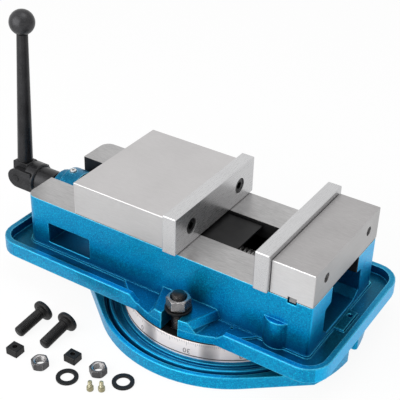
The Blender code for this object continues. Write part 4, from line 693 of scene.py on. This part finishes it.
eased(
    "swivel_base", "blue_paint", [cast_blue, dial_steel, slot_shade_steel, lip_steel], CAST_EASE,
    base_finish, width_at=base_width,
)
eased(
    "vise_body", "blue_paint",
    [cast_blue, way_steel, wall_shade_steel, channel_shade_blue, trough_shade_blue, end_lit_blue, rim_shade_blue], LUG_EASE,
    body_finish, width_at=body_width,
)
eased("bearing_cap", "blue_paint", [housing_shade_blue, cap_steel], CAP_EASE, cap_finish)
eased("movable_jaw", "ground_steel", [block_steel, block_side_steel, block_steel], BLOCK_EASE, jaw_finish)
eased("fixed_jaw", "ground_steel", [fixed_top_shade_steel, fixed_side_lit_steel, fixed_end_shade_steel], BLOCK_EASE, jaw_finish)
for node, slot_name, finish, width in (
    ("screw_housing", "blue_paint", housing_shade_blue, 0.5),
    ("movable_jaw_plate", "ground_steel", plate_steel, 0.14),
    ("fixed_jaw_plate", "ground_steel", plate_steel, 0.14),
    ("chip_guard", "black_oxide", guard_black, 0.3),
    ("thrust_bearing", "bright_steel", screw_steel, 0.3),
    ("thrust_collar", "black_oxide", crank_black, 0.3),
    ("centre_pivot", "bright_steel", screw_steel, 0.3),
    ("lead_nut", "bright_steel", horn_steel, 0.2),
    ("lock_segment", "bright_steel", key_steel, 0.2),
    ("crank_hub", "black_oxide", crank_black, 0.35),
    ("handle_knuckle", "black_oxide", crank_black, 0.35),
    ("handle_pin", "black_oxide", crank_black, 0.4),
    ("ball_knob", "black_oxide", knob_black, 0.3),
    ("clamp_washer_near", "black_oxide", bolt_black, 0.3),
    ("clamp_washer_far", "black_oxide", bolt_black, 0.3),
    ("fixed_plate_screw_near", "black_oxide", socket_black, 0.3),
    ("fixed_plate_screw_far", "black_oxide", socket_black, 0.3),
    ("movable_plate_screw_near", "black_oxide", socket_black, 0.3),
    ("movable_plate_screw_far", "black_oxide", socket_black, 0.3),
    ("fixed_jaw_bolt_near", "black_oxide", bolt_black, 0.3),
    ("fixed_jaw_bolt_far", "black_oxide", bolt_black, 0.3),
    ("table_washer_one", "black_oxide", bolt_black, 0.3),
    ("table_washer_two", "black_oxide", bolt_black, 0.3),
    ("table_key_one", "black_oxide", bolt_black, 0.3),
    ("table_key_two", "black_oxide", bolt_black, 0.3),
    ("housing_screw", "bright_steel", bright_steel, 0.25),
):
    eased(node, slot_name, [finish], width * MM)
rod = eased("handle_rod", "black_oxide", [crank_black], ROD_EASE)
thicker(rod, centre("handle_pin"), centre("ball_knob"), ROD_SHARE)
set_back("fixed_jaw_key_near", "bright_steel", key_steel, KEY_INWARD, KEY_SHARE)
set_back("fixed_jaw_key_far", "bright_steel", key_steel, -KEY_INWARD, KEY_SHARE)


# Threads, nuts and bolts, with their sizes in millimetres
# Rows of points for each turn of a thread and for its ends, and points round a rod, a head and a nut
THREAD_ROWS = 8
END_ROWS = 3
ROD_STEPS = 32
HEAD_STEPS = 48
NUT_STEPS = 72
# A nut's flat face is a share of its width, and its thread's depth a share of the pitch
NUT_FACE_SHARE = 0.475
NUT_THREAD_SHARE = 0.5
# The crown widens by its slope over these drops, and the mouth narrows by its own
CROWN_SLOPE = 1.7
CROWN_DROPS = (0, 0.35, 0.7, 1.05, 1.4, 1.8, 2.4)
MOUTH_SLOPE = 0.9
CLAMP_NUT = {"width": 22, "height": 12, "bore": 7.3, "mouth": 8.8, "pitch": 2}
CLAMP_THREAD = {"radius": 7, "pitch": 2, "depth": 1.2, "bevel": 1.0}
# A clamping bolt's thread starts below the end of its plain part and ends above the solid's end
CLAMP_THREAD_FROM = 22
CLAMP_PLAIN_TO = 24
CLAMP_THREAD_OVER = 2.4
CLAMP_EASE = 0.3 * MM
TABLE_NUT = {"width": 16, "height": 8.6, "bore": 5.9, "mouth": 6.6, "pitch": 1.75}
TABLE_NUT_TURN = math.radians(-4)
TABLE_THREAD = {"radius": 6.1, "pitch": 1.75, "depth": 0.9, "bevel": 1.2}
# A loose bolt lies on its head's rim and on the end of its shank, at a place and a turn on the floor
TABLE_BOLTS = (("one", -142.3, -130.5, -4.3), ("two", -110.2, -130.2, -2.4))
TABLE_HEAD_RADIUS = 11.6
TABLE_HEAD_RIM = 5
TABLE_SHANK_RADIUS = 5.6
TABLE_SHANK_REACH = 35.3
TABLE_BOLT_LENGTH = 40.3
TABLE_THREAD_BELOW_HEAD = 8
TABLE_BOLT_TILT = math.atan((TABLE_HEAD_RADIUS - TABLE_SHANK_RADIUS) / TABLE_SHANK_REACH)
TABLE_HEAD_PROFILE = (
    (0, 0), (6.2, -0.12), (9.6, -0.5), (10.9, -1.1), (11.45, -2), (TABLE_HEAD_RADIUS, -3.4), (11.55, -4.8),
    (11, -5.6), (9.8, -5.9), (7.7, -6), (7.1, -6.4), (6.9, -7.8), (6.4, -8.6), (4.6, -9.2), (0, -9.2),
)
KEY_SCREW_THREAD = {"radius": 2.2, "pitch": 0.8, "depth": 0.4, "bevel": 0.4, "steps": 24}
KEY_SCREW_THREAD_FROM = 4.2
KEY_SCREW_PLAIN_TO = 4.6
LEAD_THREAD = {"length": 227.2, "radius": 12, "pitch": 5, "depth": 1.6, "crest": 2.4, "bevel": 2}
LEAD_THREAD_FROM = -182.2
LEAD_PLAIN_TO = -181.8
LEAD_HEIGHT = 67.4
LEAD_EASE = 0.3 * MM


class Rule(Nodes):
    """A Geometry Nodes tree with named inputs, which makes one plain mesh at a time."""

    def __init__(self, name, **inputs):
        super().__init__(bpy.data.node_groups.new(name, "GeometryNodeTree"))
        interface = self.tree.interface
        interface.new_socket("Geometry", in_out="OUTPUT", socket_type="NodeSocketGeometry")
        self.sockets = {
            label: interface.new_socket(label, in_out="INPUT", socket_type="NodeSocket" + kind)
            for label, kind in {**inputs, "Finish": "Material"}.items()
        }
        self.source = self.add("NodeGroupInput")

    def __getitem__(self, label):
        return self.source.outputs[label]

    def ended(self, geometry):
        """Real faces with the finish on them are the tree's result."""
        real = self.add("GeometryNodeRealizeInstances", {"Geometry": geometry}).outputs[0]
        finished = self.add("GeometryNodeSetMaterial", {"Geometry": real, "Material": self["Finish"]})
        self.feed(self.add("NodeGroupOutput").inputs[0], finished.outputs[0])

    def made(self, name, finish, place, **sizes):
        """The tree's shape at these sizes, as an object whose place is in its mesh."""
        obj = linked(name, bpy.data.meshes.new(name))
        modifier = obj.modifiers.new(name, "NODES")
        modifier.node_group = self.tree
        for label, value in {**sizes, "Finish": finish}.items():
            modifier[self.sockets[label].identifier] = value
        outward(plain_mesh(obj)).transform(place)
        return obj


def outward(mesh):
    """Merges doubles and turns every face outwards."""
    solid = bmesh.new()
    solid.from_mesh(mesh)
    bmesh.ops.remove_doubles(solid, verts=solid.verts, dist=SEAM)
    bmesh.ops.recalc_face_normals(solid, faces=solid.faces)
    solid.to_mesh(mesh)
    solid.free()
    return mesh


def thread_rule():
    """A threaded shank along Z: rows of points whose radius follows the thread's helix."""
    rule = Rule(
        "threaded_shank", Length="Float", Radius="Float", Pitch="Float", Depth="Float",
        Crest="Float", Bevel="Float", Rows="Int", Steps="Int",
    )
    around = rule.maths("ADD", rule["Steps"], 1)
    feeds = {"Size X": 1.0, "Size Y": 1.0, "Vertices X": rule["Rows"], "Vertices Y": around}
    sheet = rule.add("GeometryNodeMeshGrid", feeds).outputs["Mesh"]
    flat = rule.add("ShaderNodeSeparateXYZ", {0: rule.add("GeometryNodeInputPosition").outputs[0]})
    # The first and the last row lie on the axis and close the ends
    spare = rule.maths("DIVIDE", 1.0, rule.maths("SUBTRACT", rule["Rows"], END_ROWS))
    run = rule.maths("ADD", rule.maths("MULTIPLY", spare, 2.0), 1.0)
    run = rule.maths("MULTIPLY", flat.outputs["X"], run)
    share = rule.maths("ADD", run, 0.5, clamped=True)
    along = rule.maths("MULTIPLY", share, rule["Length"])
    beyond = rule.maths("ADD", rule.maths("MULTIPLY", spare, 0.5), 0.5)
    inside = rule.maths("LESS_THAN", rule.maths("ABSOLUTE", run), beyond)
    angle = rule.maths("MULTIPLY", flat.outputs["Y"], math.tau)
    turns = rule.maths("DIVIDE", along, rule["Pitch"])
    phase = rule.maths("SUBTRACT", rule.maths("MULTIPLY", turns, math.tau), angle)
    wave = rule.maths("MULTIPLY", rule.maths("COSINE", phase), rule["Crest"])
    ridge = rule.maths("ADD", rule.maths("MULTIPLY", wave, 0.5), 0.5, clamped=True)
    groove = rule.maths("MULTIPLY", rule.maths("SUBTRACT", 1.0, ridge), rule["Depth"])
    radius = rule.maths("SUBTRACT", rule["Radius"], groove)
    end_radius = rule.maths("SUBTRACT", rule["Radius"], rule["Bevel"])
    to_end = rule.maths("SUBTRACT", rule["Length"], along)
    radius = rule.maths("MINIMUM", radius, rule.maths("ADD", end_radius, to_end))
    radius = rule.maths("MINIMUM", radius, rule.maths("ADD", end_radius, along))
    radius = rule.maths("MULTIPLY", radius, inside)
    across = rule.maths("MULTIPLY", rule.maths("COSINE", angle), radius)
    aside = rule.maths("MULTIPLY", rule.maths("SINE", angle), radius)
    point = rule.add("ShaderNodeCombineXYZ", {"X": across, "Y": aside, "Z": along}).outputs[0]
    shank = rule.add("GeometryNodeSetPosition", {"Geometry": sheet, "Position": point}).outputs[0]
    shank = rule.add("GeometryNodeMergeByDistance", {"Geometry": shank, "Distance": SEAM}).outputs[0]
    rule.ended(rule.add("GeometryNodeSetShadeSmooth", {"Geometry": shank}).outputs[0])
    return rule


def threaded(name, finish, place, length, radius, pitch, depth, bevel, crest=1.0, steps=ROD_STEPS):
    """A threaded shank of these sizes. A crest above 1 flattens the thread's crests and roots."""
    rows = int(length / pitch * THREAD_ROWS) + END_ROWS
    return threads.made(
        name, finish, place, Length=length * MM, Radius=radius * MM, Pitch=pitch * MM,
        Depth=depth * MM, Crest=crest, Bevel=bevel * MM, Rows=rows, Steps=steps,
    )


def ring_rows(name, rows, finish, place, closed):
    """A skin through rings of points. closed joins the last ring to the first.
    Otherwise both ends are rings of one point on the axis."""
    steps = len(rows[0])
    corners = [tuple(point) for row in rows for point in row]
    faces = []
    for row in range(len(rows) if closed else len(rows) - 1):
        low = row * steps
        high = (row + 1) % len(rows) * steps
        for step in range(steps):
            beside = (step + 1) % steps
            faces.append((low + step, low + beside, high + beside, high + step))
    mesh = bpy.data.meshes.new(name)
    mesh.from_pydata(corners, [], faces)
    mesh.materials.append(finish)
    outward(mesh)
    mesh.shade_smooth()
    mesh.set_sharp_from_angle(angle=ROUND_ANGLE)
    mesh.transform(place)
    return linked(name, mesh)


def ring(radii, height):
    """One ring of points at a height, with a radius for each step of the turn."""
    turns = np.linspace(0, math.tau, len(radii), endpoint=False)
    heights = np.full(len(radii), height)
    return np.stack([radii * np.cos(turns), radii * np.sin(turns), heights], axis=1) * MM


def turned(name, profile, finish, place):
    """A profile of radius and height, spun round Z. It starts and ends on the axis."""
    rows = [ring(np.full(HEAD_STEPS, float(radius)), height) for radius, height in profile]
    return ring_rows(name, rows, finish, place, closed=False)


def hexagon_nut(name, finishes, place, width, height, bore, mouth, pitch):
    """A nut with rounded crowns on both faces, a mouth sunk into each and a thread in its bore.
    Its outside has the first finish and its bore the second."""
    turns = np.linspace(0, math.tau, NUT_STEPS, endpoint=False)
    flat = np.mod(turns + math.pi / 6, math.pi / 3) - math.pi / 6
    hexagon = width / 2 / np.cos(flat)
    face = width * NUT_FACE_SHARE
    rows = []
    for level in [*CROWN_DROPS, *(height - drop for drop in reversed(CROWN_DROPS))]:
        reach = face + min(level, height - level) * CROWN_SLOPE
        rows.append(ring(np.minimum(hexagon, reach), level))
    outside = len(rows) * NUT_STEPS
    lead = (mouth - bore) * MOUTH_SLOPE
    plain = np.full(NUT_STEPS, bore)
    rows.append(ring(np.full(NUT_STEPS, mouth), height))
    for level in np.arange(height - lead, lead, -pitch / THREAD_ROWS):
        wave = np.cos(math.tau * level / pitch - turns)
        rows.append(ring(plain - pitch * NUT_THREAD_SHARE * (1 + wave) / 2, level))
    rows.append(ring(np.full(NUT_STEPS, mouth), 0))
    nut = ring_rows(name, rows, finishes[0], place, closed=True)
    nut.data.materials.append(finishes[1])
    for face in nut.data.polygons[outside:]:
        face.material_index = 1
    return nut


threads = thread_rule()
for side in ("near", "far"):
    node = "clamp_bolt_" + side
    low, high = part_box(node)
    plain_to = Vector((0, 0, CLAMP_PLAIN_TO * MM))
    eased(node, "black_oxide", [bolt_black], CLAMP_EASE, ends=(plain_to, Vector((0, 0, 1))))
    start = Matrix.Translation((0, (low.y + high.y) / 2, CLAMP_THREAD_FROM * MM))
    length = (high.z - CLAMP_THREAD_FROM * MM) / MM + CLAMP_THREAD_OVER
    shank = threaded(node + "_thread", stud_black, start, length, **CLAMP_THREAD)
    placed(shank, "bed", "black_oxide")
    node = "clamp_nut_" + side
    set_down = Matrix.Translation(foot(node))
    nut = hexagon_nut(node + "_crowned", (clamp_nut_steel, bolt_black), set_down, **CLAMP_NUT)
    placed(nut, bodies_of_nodes[node], "bright_steel", node)
for number, x, y, turn in TABLE_BOLTS:
    node = "table_bolt_" + number
    rise = TABLE_HEAD_RADIUS * math.cos(TABLE_BOLT_TILT) + TABLE_HEAD_RIM * math.sin(TABLE_BOLT_TILT)
    lie = (
        Matrix.Translation((x * MM, y * MM, rise * MM))
        @ Matrix.Rotation(math.radians(turn), 4, "Z")
        @ Matrix.Rotation(TABLE_BOLT_TILT - math.pi / 2, 4, "X")
    )
    head = turned(node + "_head", TABLE_HEAD_PROFILE, bolt_black, lie)
    placed(head, "base", "black_oxide", node)
    start = lie @ Matrix.Translation((0, 0, -TABLE_BOLT_LENGTH * MM))
    length = TABLE_BOLT_LENGTH - TABLE_THREAD_BELOW_HEAD
    shank = threaded(node + "_thread", bolt_black, start, length, **TABLE_THREAD)
    placed(shank, "base", "black_oxide")
    node = "table_nut_" + number
    set_down = Matrix.Translation(foot(node)) @ Matrix.Rotation(TABLE_NUT_TURN, 4, "Z")
    nut = hexagon_nut(node + "_crowned", (nut_steel, bore_steel), set_down, **TABLE_NUT)
    placed(nut, "base", "bright_steel", node)
    node = "key_screw_" + number
    across, aside, _ = foot(node)
    plain_to = Vector((0, 0, KEY_SCREW_PLAIN_TO * MM))
    eased(node, "pale_brass", [pale_brass], KEY_EASE, ends=(plain_to, Vector((0, 0, 1))))
    start = Matrix.Translation((across, aside, KEY_SCREW_THREAD_FROM * MM))
    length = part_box(node)[1].z / MM - KEY_SCREW_THREAD_FROM
    shank = threaded(node + "_thread", pale_brass, start, length, **KEY_SCREW_THREAD)
    placed(shank, "base", "pale_brass")
plain_to = Vector((LEAD_PLAIN_TO * MM, 0, 0))
eased("lead_screw", "bright_steel", [screw_steel], LEAD_EASE, ends=(plain_to, Vector((1, 0, 0))))
start = Matrix.Translation((LEAD_THREAD_FROM * MM, 0, LEAD_HEIGHT * MM))
to_x = Matrix.Rotation(math.pi / 2, 4, "Y")
shank = threaded("lead_screw_thread", screw_steel, start @ to_x, **LEAD_THREAD)
placed(shank, "screw", "bright_steel")


# The dial of the base, with its sizes in millimetres
DIAL_RADIUS = 109.5
DIAL_ZERO = math.radians(-109.2)
MARKS = 360
MARK_TOP = 30.9
MARK_LENGTH = 2.8
MARK_WIDTH = 0.22
# A fifth mark is longer by this share of a mark, and a tenth by as much again
LONGER_SHARE = 0.5
NUMBER_STEP = 30
NUMBER_LARGEST = 90
NUMBER_HEIGHT = 18.9
NUMBER_SIZE = 8.2
NUMBER_DEPTH = 0.12
# The dark ring at the drum's foot is a painted shadow
DIAL_FOOT_PROFILE = ((109.3, 13.7), (110.2, 13.7), (110.1, 14.1), (109.3, 14.3))
DIAL_FOOT_STEPS = 160


def mark_rule():
    """Engraved marks round a drum: Count of them, longer at each fifth and tenth."""
    rule = Rule(
        "dial_marks", Radius="Float", Top="Float", Count="Int", Short="Float", Width="Float", Start="Float"
    )
    points = rule.add("GeometryNodePoints", {"Count": rule["Count"]}).outputs[0]
    index = rule.add("GeometryNodeInputIndex").outputs[0]
    step = rule.maths("DIVIDE", math.tau, rule["Count"])
    angle = rule.maths("ADD", rule.maths("MULTIPLY", index, step), rule["Start"])
    across = rule.maths("MULTIPLY", rule.maths("COSINE", angle), rule["Radius"])
    aside = rule.maths("MULTIPLY", rule.maths("SINE", angle), rule["Radius"])
    place = rule.add("ShaderNodeCombineXYZ", {"X": across, "Y": aside, "Z": rule["Top"]}).outputs[0]
    points = rule.add("GeometryNodeSetPosition", {"Geometry": points, "Position": place}).outputs[0]
    sides = {"X": rule["Width"], "Y": rule["Width"], "Z": rule["Short"]}
    size = rule.add("ShaderNodeCombineXYZ", sides).outputs[0]
    mark = rule.add("GeometryNodeMeshCube", {"Size": size}).outputs["Mesh"]
    drop = rule.maths("MULTIPLY", rule["Short"], -0.5)
    hang = rule.add("ShaderNodeCombineXYZ", {"Z": drop}).outputs[0]
    mark = rule.add("GeometryNodeTransform", {"Geometry": mark, "Translation": hang}).outputs[0]
    length = 1.0
    for every in (5, 10):
        hit = rule.maths("LESS_THAN", rule.maths("MODULO", index, every), 0.5)
        length = rule.maths("ADD", length, rule.maths("MULTIPLY", hit, LONGER_SHARE))
    scale = rule.add("ShaderNodeCombineXYZ", {"X": 1.0, "Y": 1.0, "Z": length}).outputs[0]
    turn = rule.add("ShaderNodeCombineXYZ", {"Z": angle}).outputs[0]
    feeds = {"Points": points, "Instance": mark, "Rotation": turn, "Scale": scale}
    rule.ended(rule.add("GeometryNodeInstanceOnPoints", feeds).outputs[0])
    return rule


def dial_number(text, angle):
    """A number engraved on the drum. It is read from above, so its foot is at the top."""
    letters = bpy.data.curves.new("dial_number", "FONT")
    letters.body = text
    letters.size = NUMBER_SIZE * MM
    letters.align_x = "CENTER"
    letters.align_y = "CENTER"
    letters.extrude = NUMBER_DEPTH * MM
    letters.resolution_u = 3
    name = f"dial_number_{round(math.degrees(angle)) % 360:03d}"
    piece = linked(name, letters)
    depsgraph = bpy.context.evaluated_depsgraph_get()
    mesh = bpy.data.meshes.new_from_object(piece.evaluated_get(depsgraph))
    bpy.data.objects.remove(piece)
    for corner in mesh.vertices:
        x, y, z = corner.co
        spot = angle - x / (DIAL_RADIUS * MM)
        out = DIAL_RADIUS * MM + z
        corner.co = (out * math.cos(spot), out * math.sin(spot), NUMBER_HEIGHT * MM - y)
    mesh.materials.clear()
    mesh.materials.append(dial_ink)
    return placed(linked(name, outward(mesh)), "base", "black_oxide")


marks = mark_rule().made(
    "dial_marks", dial_ink, Matrix.Identity(4), Radius=DIAL_RADIUS * MM, Top=MARK_TOP * MM, Count=MARKS,
    Short=MARK_LENGTH * MM, Width=MARK_WIDTH * MM, Start=DIAL_ZERO,
)
placed(marks, "base", "black_oxide")
for degrees in range(0, 360, NUMBER_STEP):
    label = abs((degrees + NUMBER_LARGEST) % (2 * NUMBER_LARGEST) - NUMBER_LARGEST)
    dial_number(str(label), DIAL_ZERO + math.radians(degrees))
foot_rings = [ring(np.full(DIAL_FOOT_STEPS, radius), height) for radius, height in DIAL_FOOT_PROFILE]
shadow_ring_piece = ring_rows("dial_foot_shadow_ring", foot_rings, foot_shadow_finish, Matrix.Identity(4), closed=True)
placed(shadow_ring_piece, "base", "black_oxide")


# Studio, with its sizes in metres and the camera that was fitted to the photograph
CAMERA_AZIMUTH = math.radians(31.92)
CAMERA_ELEVATION = math.radians(32.38)
CAMERA_ROLL = math.radians(1.77)
CAMERA_PLACE = (0.41156, -0.71846, 0.65581)
CAMERA_SENSOR = 36
CAMERA_LENS = 86.517
FLOOR_HALF = 6.0
FLOOR_TONE = tone(246, 246, 246)
FLOOR_ROUGHNESS = 0.9
FLOOR_GLOW = 0.91
WHITE = (1, 1, 1, 1)
WORLD_LIGHT = 0.62
KEY_SOFTBOX = {"place": (-0.55, -1.35, 0.62), "aim": (0, 0, 0.05), "size": 2.0, "watts": 27}
TOP_SOFTBOX = {"place": (0.1, 0.1, 1.5), "aim": (0, 0, 0.06), "size": 1.0, "watts": 5}


def studio_camera():
    """The photograph's view: a long lens, high on the near right, with a slight roll."""
    level = math.cos(CAMERA_ELEVATION)
    back = Vector((
        math.sin(CAMERA_AZIMUTH) * level, -math.cos(CAMERA_AZIMUTH) * level, math.sin(CAMERA_ELEVATION)
    ))
    across = (-back).cross(Vector((0, 0, 1))).normalized()
    upward = across.cross(-back)
    right = math.cos(CAMERA_ROLL) * across + math.sin(CAMERA_ROLL) * upward
    top = math.cos(CAMERA_ROLL) * upward - math.sin(CAMERA_ROLL) * across
    place = Matrix((right, top, back)).transposed().to_4x4()
    place.translation = CAMERA_PLACE
    lens = bpy.data.cameras.new("studio_camera")
    lens.sensor_width = CAMERA_SENSOR
    lens.lens = CAMERA_LENS
    camera = bpy.data.objects.new("studio_camera", lens)
    camera.matrix_world = place
    bpy.context.scene.collection.objects.link(camera)
    bpy.context.scene.camera = camera


def softbox(name, place, aim, size, watts):
    lamp = bpy.data.lights.new(name, "AREA")
    lamp.shape = "DISK"
    lamp.size = size
    lamp.energy = watts
    obj = bpy.data.objects.new(name, lamp)
    obj.location = place
    obj.rotation_euler = (Vector(aim) - Vector(place)).to_track_quat("-Z", "Y").to_euler()
    bpy.context.scene.collection.objects.link(obj)


def seen_directly(nodes):
    """1 for rays of the camera, of gloss and of clear glass, and 0 for light on the object."""
    rays = nodes.add("ShaderNodeLightPath").outputs
    value = rays["Is Camera Ray"]
    for kind in ("Is Glossy Ray", "Is Transmission Ray"):
        value = nodes.maths("MAXIMUM", value, rays[kind])
    return value


def studio_world():
    """White where it is seen directly, and dimmer as light on the object."""
    world = bpy.data.worlds.new("studio_world")
    bpy.context.scene.world = world
    world.use_nodes = True
    nodes = Nodes(world.node_tree)
    dim = world.node_tree.nodes["Background"]
    nodes.feed(dim.inputs["Color"], WHITE)
    nodes.feed(dim.inputs["Strength"], WORLD_LIGHT)
    white = nodes.add("ShaderNodeBackground", {"Color": WHITE, "Strength": 1.0})
    feeds = {0: seen_directly(nodes), 1: dim.outputs[0], 2: white.outputs[0]}
    either = nodes.add("ShaderNodeMixShader", feeds)
    nodes.feed(world.node_tree.nodes["World Output"].inputs["Surface"], either.outputs[0])


def studio_floor():
    """Pale paper that glows where it is seen directly, so that it meets the white background.
    It keeps the object's shadow."""
    mesh = bpy.data.meshes.new("studio_floor")
    half = FLOOR_HALF
    corners = [(-half, -half, 0), (half, -half, 0), (half, half, 0), (-half, half, 0)]
    mesh.from_pydata(corners, [], [(0, 1, 2, 3)])
    floor = linked("studio_floor", mesh)
    paper = Finish("studio_paper", 0.0)
    paper.done(FLOOR_TONE, FLOOR_ROUGHNESS)
    glow = paper.add("ShaderNodeEmission", {"Color": WHITE, "Strength": 1.0})
    share = paper.maths("MULTIPLY", seen_directly(paper), FLOOR_GLOW)
    both = paper.add("ShaderNodeMixShader", {0: share, 1: paper.shader.outputs[0], 2: glow.outputs[0]})
    paper.feed(paper.tree.nodes["Material Output"].inputs["Surface"], both.outputs[0])
    mesh.materials.append(paper.material)


studio_camera()
studio_world()
studio_floor()
softbox("key_softbox", **KEY_SOFTBOX)
softbox("top_softbox", **TOP_SOFTBOX)
bpy.context.scene.view_settings.view_transform = "Standard"
